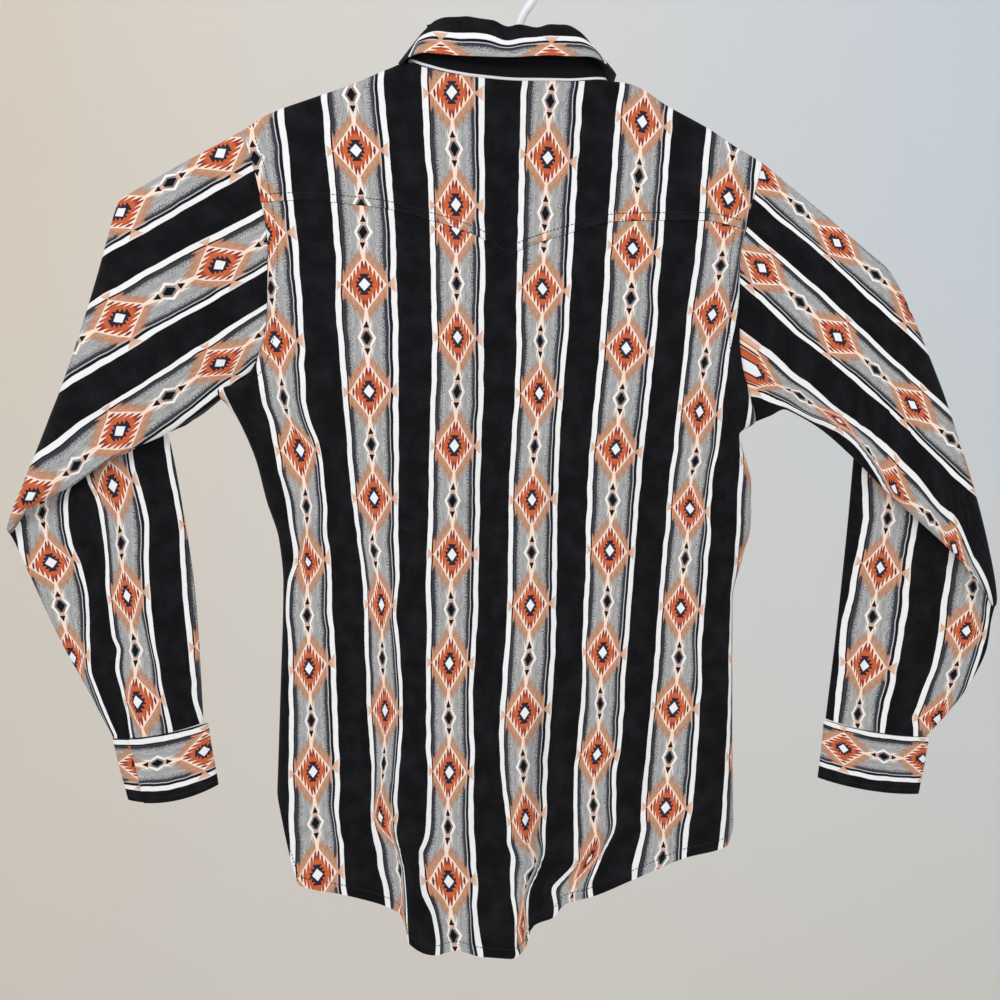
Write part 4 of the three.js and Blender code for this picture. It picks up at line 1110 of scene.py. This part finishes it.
CUFF_THICKNESS = 1.9
cuffs = []
for name, node, cuff, first_x, spacing, first_u, reach, under_slip in (
    ("left_cuff_band", "cuff_left", LEFT_CUFF, -292.6, 88.4, -0.31, 0.776, 0.687),
    ("right_cuff_band", "cuff_right", RIGHT_CUFF, 317.3, 76, -0.295, 0.781, 0),
):
    turns = cuff["start"] + np.linspace(0, 2 * math.pi + 0.9, 150)
    down, turn = np.meshgrid(np.linspace(0, 1, 22), turns, indexing="ij")
    soft = 0.35 * np.sin(turn * 5 + down * 4) * np.sin(math.pi * down)
    outer, inner = (cuff_point(cuff, down, turn, depth + soft) for depth in (0, CUFF_THICKNESS))
    u = first_u + reach * down
    v = (outer[..., 0] - first_x) / spacing + under_slip * ease(math.pi + 0.6, math.pi + 0.1, turn)
    piece = cloth_shell(name, outer, inner, u, v, flip=cuff["side"] < 0)
    piece.data.materials.append(cotton)
    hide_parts(node)
    cuffs.append(piece)


# Collar stand and leaf: the stand rises from the neck seam, the leaf rolls over it and falls.
# Both are doubled cloth with a stiffener, and the leaf's edge is turned and sewn.
# Rows of half width, half depth, rise over the neck seam at back, side and front, and front opening
STAND = [(95, 19.4, 0.9, 0.9, 2, 0.08), (86, 21, 17, 17, 14, 0.08), (76, 22, 34, 34, 28, 0.08)]
LEAF = [
    (76, 22, 34.5, 34.5, 28.5, 0.1), (73, 22.5, 45, 38, 33, 0.1), (71, 24.5, 54, 41, 37, 0.1),
    (74, 28.5, 56, 41, 38, 0.11), (80, 31.5, 53, 36, 34, 0.14), (92, 35.5, 39, 22, 2, 0.3),
    (104, 38, 24, 7, -38, 0.5),
]
# How much lower the leaf's roll and its lower edge lie than an even leaf, by x
ROLL_DROP = [(-80, 9), (-62, 8), (-38, 2), (-18, 2), (-3, 6.5), (7, 4), (24, 6.5), (38, 3), (66, 4), (80, 7)]
EDGE_DROP = [(-95, 11), (-60, 8), (0, 4.5), (40, 2), (90, 2)]


def collar_ring(rows, down, angle_share):
    """Points of the collar between its rows, from one front end round the back to the other."""
    keyed = [(i, *row) for i, row in enumerate(rows)]
    columns = (table(keyed, i, down) for i in range(1, 7))
    half_width, half_depth, rise_back, rise_side, rise_front, spread = columns
    end = math.pi - spread
    angle = end * angle_share
    front = ease(0, 1, (np.abs(angle) - math.pi * 0.5) / (end - math.pi * 0.5))
    at_back = ease(math.pi * 0.5, math.pi * 0.25, np.abs(angle))
    rise = mix(mix(rise_side, rise_back, at_back), rise_front, front)
    seam_x = CENTRE + NECK_HALF_WIDTH * np.sin(angle)
    seam = np.where(np.cos(angle) > 0, table(BACK_TOP, 1, seam_x), table(FRONT_NECK, 1, seam_x))
    x = CENTRE + half_width * np.sin(angle)
    if rows is LEAF:
        settled = mix(table(ROLL_DROP, 1, x), table(EDGE_DROP, 1, x), ease(3, 6, down))
        rise = rise - settled * ease(0, 1.5, down) * ease(math.pi * 0.65, math.pi * 0.4, np.abs(angle))
    return np.stack([x, -half_depth * np.cos(angle), seam + rise], axis=-1)


def collar_piece(name, node, rows, steps, thick, place_in_print):
    steps_down, steps_round = np.linspace(0, len(rows) - 1, steps), np.linspace(-1, 1, 150)
    down, share = np.meshgrid(steps_down, steps_round, indexing="ij")
    outer = collar_ring(rows, down, share)
    normal = unit(np.cross(np.gradient(outer, axis=0), np.gradient(outer, axis=1)))
    outer = outer + normal * (np.sign(thick) * -0.25 * ripple(outer[..., 0] * 2, share * 90))[..., None]
    u, v = place_in_print(outer[..., 0], down)
    piece = cloth_shell(name, outer, outer + normal * thick, u, v, flip=thick > 0)
    piece.data.materials.append(cotton)
    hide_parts(node)
    return piece


# How far up the print the leaf's cloth lies from its turned edge, by its rows
LEAF_RUN = [(0, 45), (1, 44), (2, 38.6), (3, 34.1), (4, 29.9), (5, 15.3), (6, 0)]
LEAF_PITCH = 104.5


def leaf_print(x, down):
    tugged = 3.5 * np.exp(-(((x + 3) / 14) ** 2)) + 26 * ease(84, 97, np.abs(x - CENTRE))
    return (8 + 1.14 * table(LEAF_RUN, 1, down) + tugged) / STRIPE_PITCH, (x + 66.5) / LEAF_PITCH


def stand_print(x, down):
    return (28.2 + 17 * down) / STRIPE_PITCH, 0.5


COLLAR_THICKNESS = 1.4
collar_stand = collar_piece("collar_stand_band", "collar_stand", STAND, 14, COLLAR_THICKNESS, stand_print)
collar_leaf = collar_piece("collar_leaf_cloth", "collar_leaf", LEAF, 46, -COLLAR_THICKNESS, leaf_print)


# Topstitching: rows of short sewn threads a little above the cloth.
# They run along the yoke, hems, placket, cuffs and armholes.
thread, tree, shader = new_material("charcoal_thread", {
    "Sheen Weight": 0.1, "Specular IOR Level": 0.15, "Roughness": 0.8,
})
twist_inputs = {"Vector": object_place(tree), "Scale": 900, "Distortion": 1}
twist = add_node(tree, "TexWave", twist_inputs)["Fac"]
feed(tree, shader, {
    "Base Color": blend(tree, twist, srgb(22, 21, 26), srgb(42, 40, 47)),
    "Normal": bump(tree, twist, 0.4, 0.0001),
})

STITCH, STITCH_GAP, THREAD = 2.6, 0.9, 0.28
# A stitch's rings: share of its length, share of its thickness, and height over the seam line
GRAIN = [(0, 0.35, -0.1), (0.2, 1, 0.16), (0.8, 1, 0.16), (1, 0.35, -0.1)]
GRAIN_SIDES = 6


def stitch_row(name, path, outward):
    """Short threads along a path of surface points, each a flat six-sided grain."""
    step = np.linalg.norm(np.diff(path, axis=0), axis=1)
    run = np.concatenate([[0], np.cumsum(step)])

    def read(rows, place):
        return np.array([np.interp(place, run, rows[:, i]) for i in range(3)])

    count = max(2, int(run[-1] / (STITCH + STITCH_GAP)))
    points, faces = [], []
    for k in range(count):
        start = (k + 0.5) * run[-1] / count - STITCH / 2
        centres = [read(path, start + STITCH * share) for share, _, _ in GRAIN]
        out = read(outward, start + STITCH / 2)
        ahead = unit(centres[-1] - centres[0])
        beside = unit(np.cross(ahead, out))
        faces += ring_faces(len(GRAIN), GRAIN_SIDES, len(points))
        for centre, (_, size, lift) in zip(centres, GRAIN):
            for i in range(GRAIN_SIDES):
                turn = 2 * math.pi * i / GRAIN_SIDES
                round_it = math.cos(turn) * beside * 1.2 + math.sin(turn) * out
                points.append(centre + out * lift + THREAD * size * round_it)
    piece = add_mesh(name, (np.array(points) * MM).tolist(), faces)
    piece.data.shade_smooth()
    piece.data.materials.append(thread)
    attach(piece, root)
    return piece


def body_seam(name, face, across, z, lift):
    points = body_point(face, across, z, 1)
    normal = body_normal(face, across, z, 1)
    return stitch_row(name, points + normal * lift, normal)


def hem_seam(name, face, hem, across):
    return body_seam(name, face, across, height_on(hem, across) + HEM_WIDTH, 0.02)


HEM_WIDTH = 9
SEAM_START, SEAM_END = 0.012, 0.988
fine = np.linspace(SEAM_START, SEAM_END, 300)
yoke_stitches = [
    body_seam(f"yoke_stitch_{i + 1}", -1, fine, height_on(YOKE_SEAM, fine) + up, 0.35)
    for i, up in enumerate((1.8, 7.5))
]
back_stitches = [hem_seam("back_hem_stitch", -1, BACK_HEM, fine)]
left_stitches = [hem_seam("left_hem_stitch", 1, FRONT_HEM, np.linspace(SEAM_START, 0.45, 150))]
right_stitches = [hem_seam("right_hem_stitch", 1, FRONT_HEM, np.linspace(0.55, SEAM_END, 150))]
band_z = np.linspace(-172, -886, 300)
placket_stitches = [
    body_seam(f"placket_stitch_{i + 1}", 1, np.full(300, across), band_z, 1.92)
    for i, across in enumerate((0.4735, 0.5265))
]
armhole_stitches = [
    body_seam(f"armhole_stitch_{i + 1}", -1, np.full(160, across), np.linspace(top, bottom, 160), 0.03)
    for i, (across, top, bottom) in enumerate(((0.022, -176, -412), (0.978, -205, -440)))
]
cuff_stitches = []
for piece, cuff in zip(cuffs, (LEFT_CUFF, RIGHT_CUFF)):
    turn = cuff["start"] + np.linspace(0.95, 2 * math.pi + 0.82, 200)
    for i, down in enumerate((0.1, 0.92)):
        level = np.full(200, down)
        points = cuff_point(cuff, level, turn, -0.05)
        outward = unit(points - cuff_point(cuff, level, turn, 1.0))
        cuff_stitches.append((piece, stitch_row(f"{piece.name}_stitch_{i + 1}", points, outward)))


# Snaps: pressed caps of pearly resin in a thin metal ring, seven down the placket and two a cuff; the ring is
# shaped with the cap and takes the same resin.
# Each is clenched through the band, so it sits on the cloth.
pearl, tree, shader = new_material("pearl_resin", {
    "Coat Weight": 0.7, "Coat Roughness": 0.08, "Roughness": 0.3,
})
layers = noise(tree, object_place(tree), 260, 4, Distortion=2)["Fac"]
tones = tree.nodes.new("ShaderNodeValToRGB")
tones.color_ramp.elements[0].color = srgb(206, 200, 196)
tones.color_ramp.elements[1].color = srgb(244, 240, 234)
feed(tree, tones, {"Fac": layers})
feed(tree, shader, {"Base Color": tones.outputs["Color"], "Normal": bump(tree, layers, 0.08, 0.0002)})

# Radius and height up the cap, from its middle over its ring to its top
SNAP_PROFILE = [
    (0, 0), (5.2, 0), (5.5, 0.25), (5.5, 0.7), (5.25, 1.0), (4.75, 1.1), (4.45, 0.95), (4.3, 1.2),
    (3.9, 1.7), (3.2, 2.1), (2.2, 2.33), (1.1, 2.4), (0, 2.4),
]
SNAP_SIDES = 40


def snap_cap(name, node, place, outward):
    turn_to = Vector((0, 0, 1)).rotation_difference(Vector(outward).normalized())
    points = []
    for radius, height in SNAP_PROFILE:
        for i in range(SNAP_SIDES):
            angle = 2 * math.pi * i / SNAP_SIDES
            point = Vector((radius * math.cos(angle), radius * math.sin(angle), height))
            points.append((Vector(place) + turn_to @ point) * MM)
    faces = ring_faces(len(SNAP_PROFILE), SNAP_SIDES, closed=False)
    piece = add_mesh(name, points, faces)
    piece.data.shade_smooth()
    piece.data.materials.append(pearl)
    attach(piece, root)
    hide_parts(node)
    return piece


TOP_SNAP, SNAP_SPACING = -200.0, 97
middle = np.array([0.5])
for i in range(7):
    z = np.array([TOP_SNAP - SNAP_SPACING * i])
    place = (body_point(1, middle, z, 1) + body_normal(1, middle, z, 1) * 1.95)[0]
    outward = body_normal(1, middle, z)[0]
    snap_cap(f"placket_cap_{i + 1}", f"placket_snap_{i + 1}", place, outward)
cuff_snaps = []
for piece, cuff, node in zip(cuffs, (LEFT_CUFF, RIGHT_CUFF), ("cuff_left", "cuff_right")):
    for i, down in enumerate((0.25, 0.75)):
        place = cuff_point(cuff, np.array([down]), np.array([cuff["snap_turn"]]), 0)[0] + (0, 0.3, 0)
        cap = snap_cap(f"{piece.name}_cap_{i + 1}", f"{node}_snap_{i + 1}", place, (0, 1, 0))
        cuff_snaps.append((piece, cap))

# The cut pieces as sheets of cloth: each has its size before sewing and what it hangs from
for piece, sleeve in zip(cuffs, sleeves):
    sewn = [part for owner, part in cuff_stitches + cuff_snaps if owner is piece]
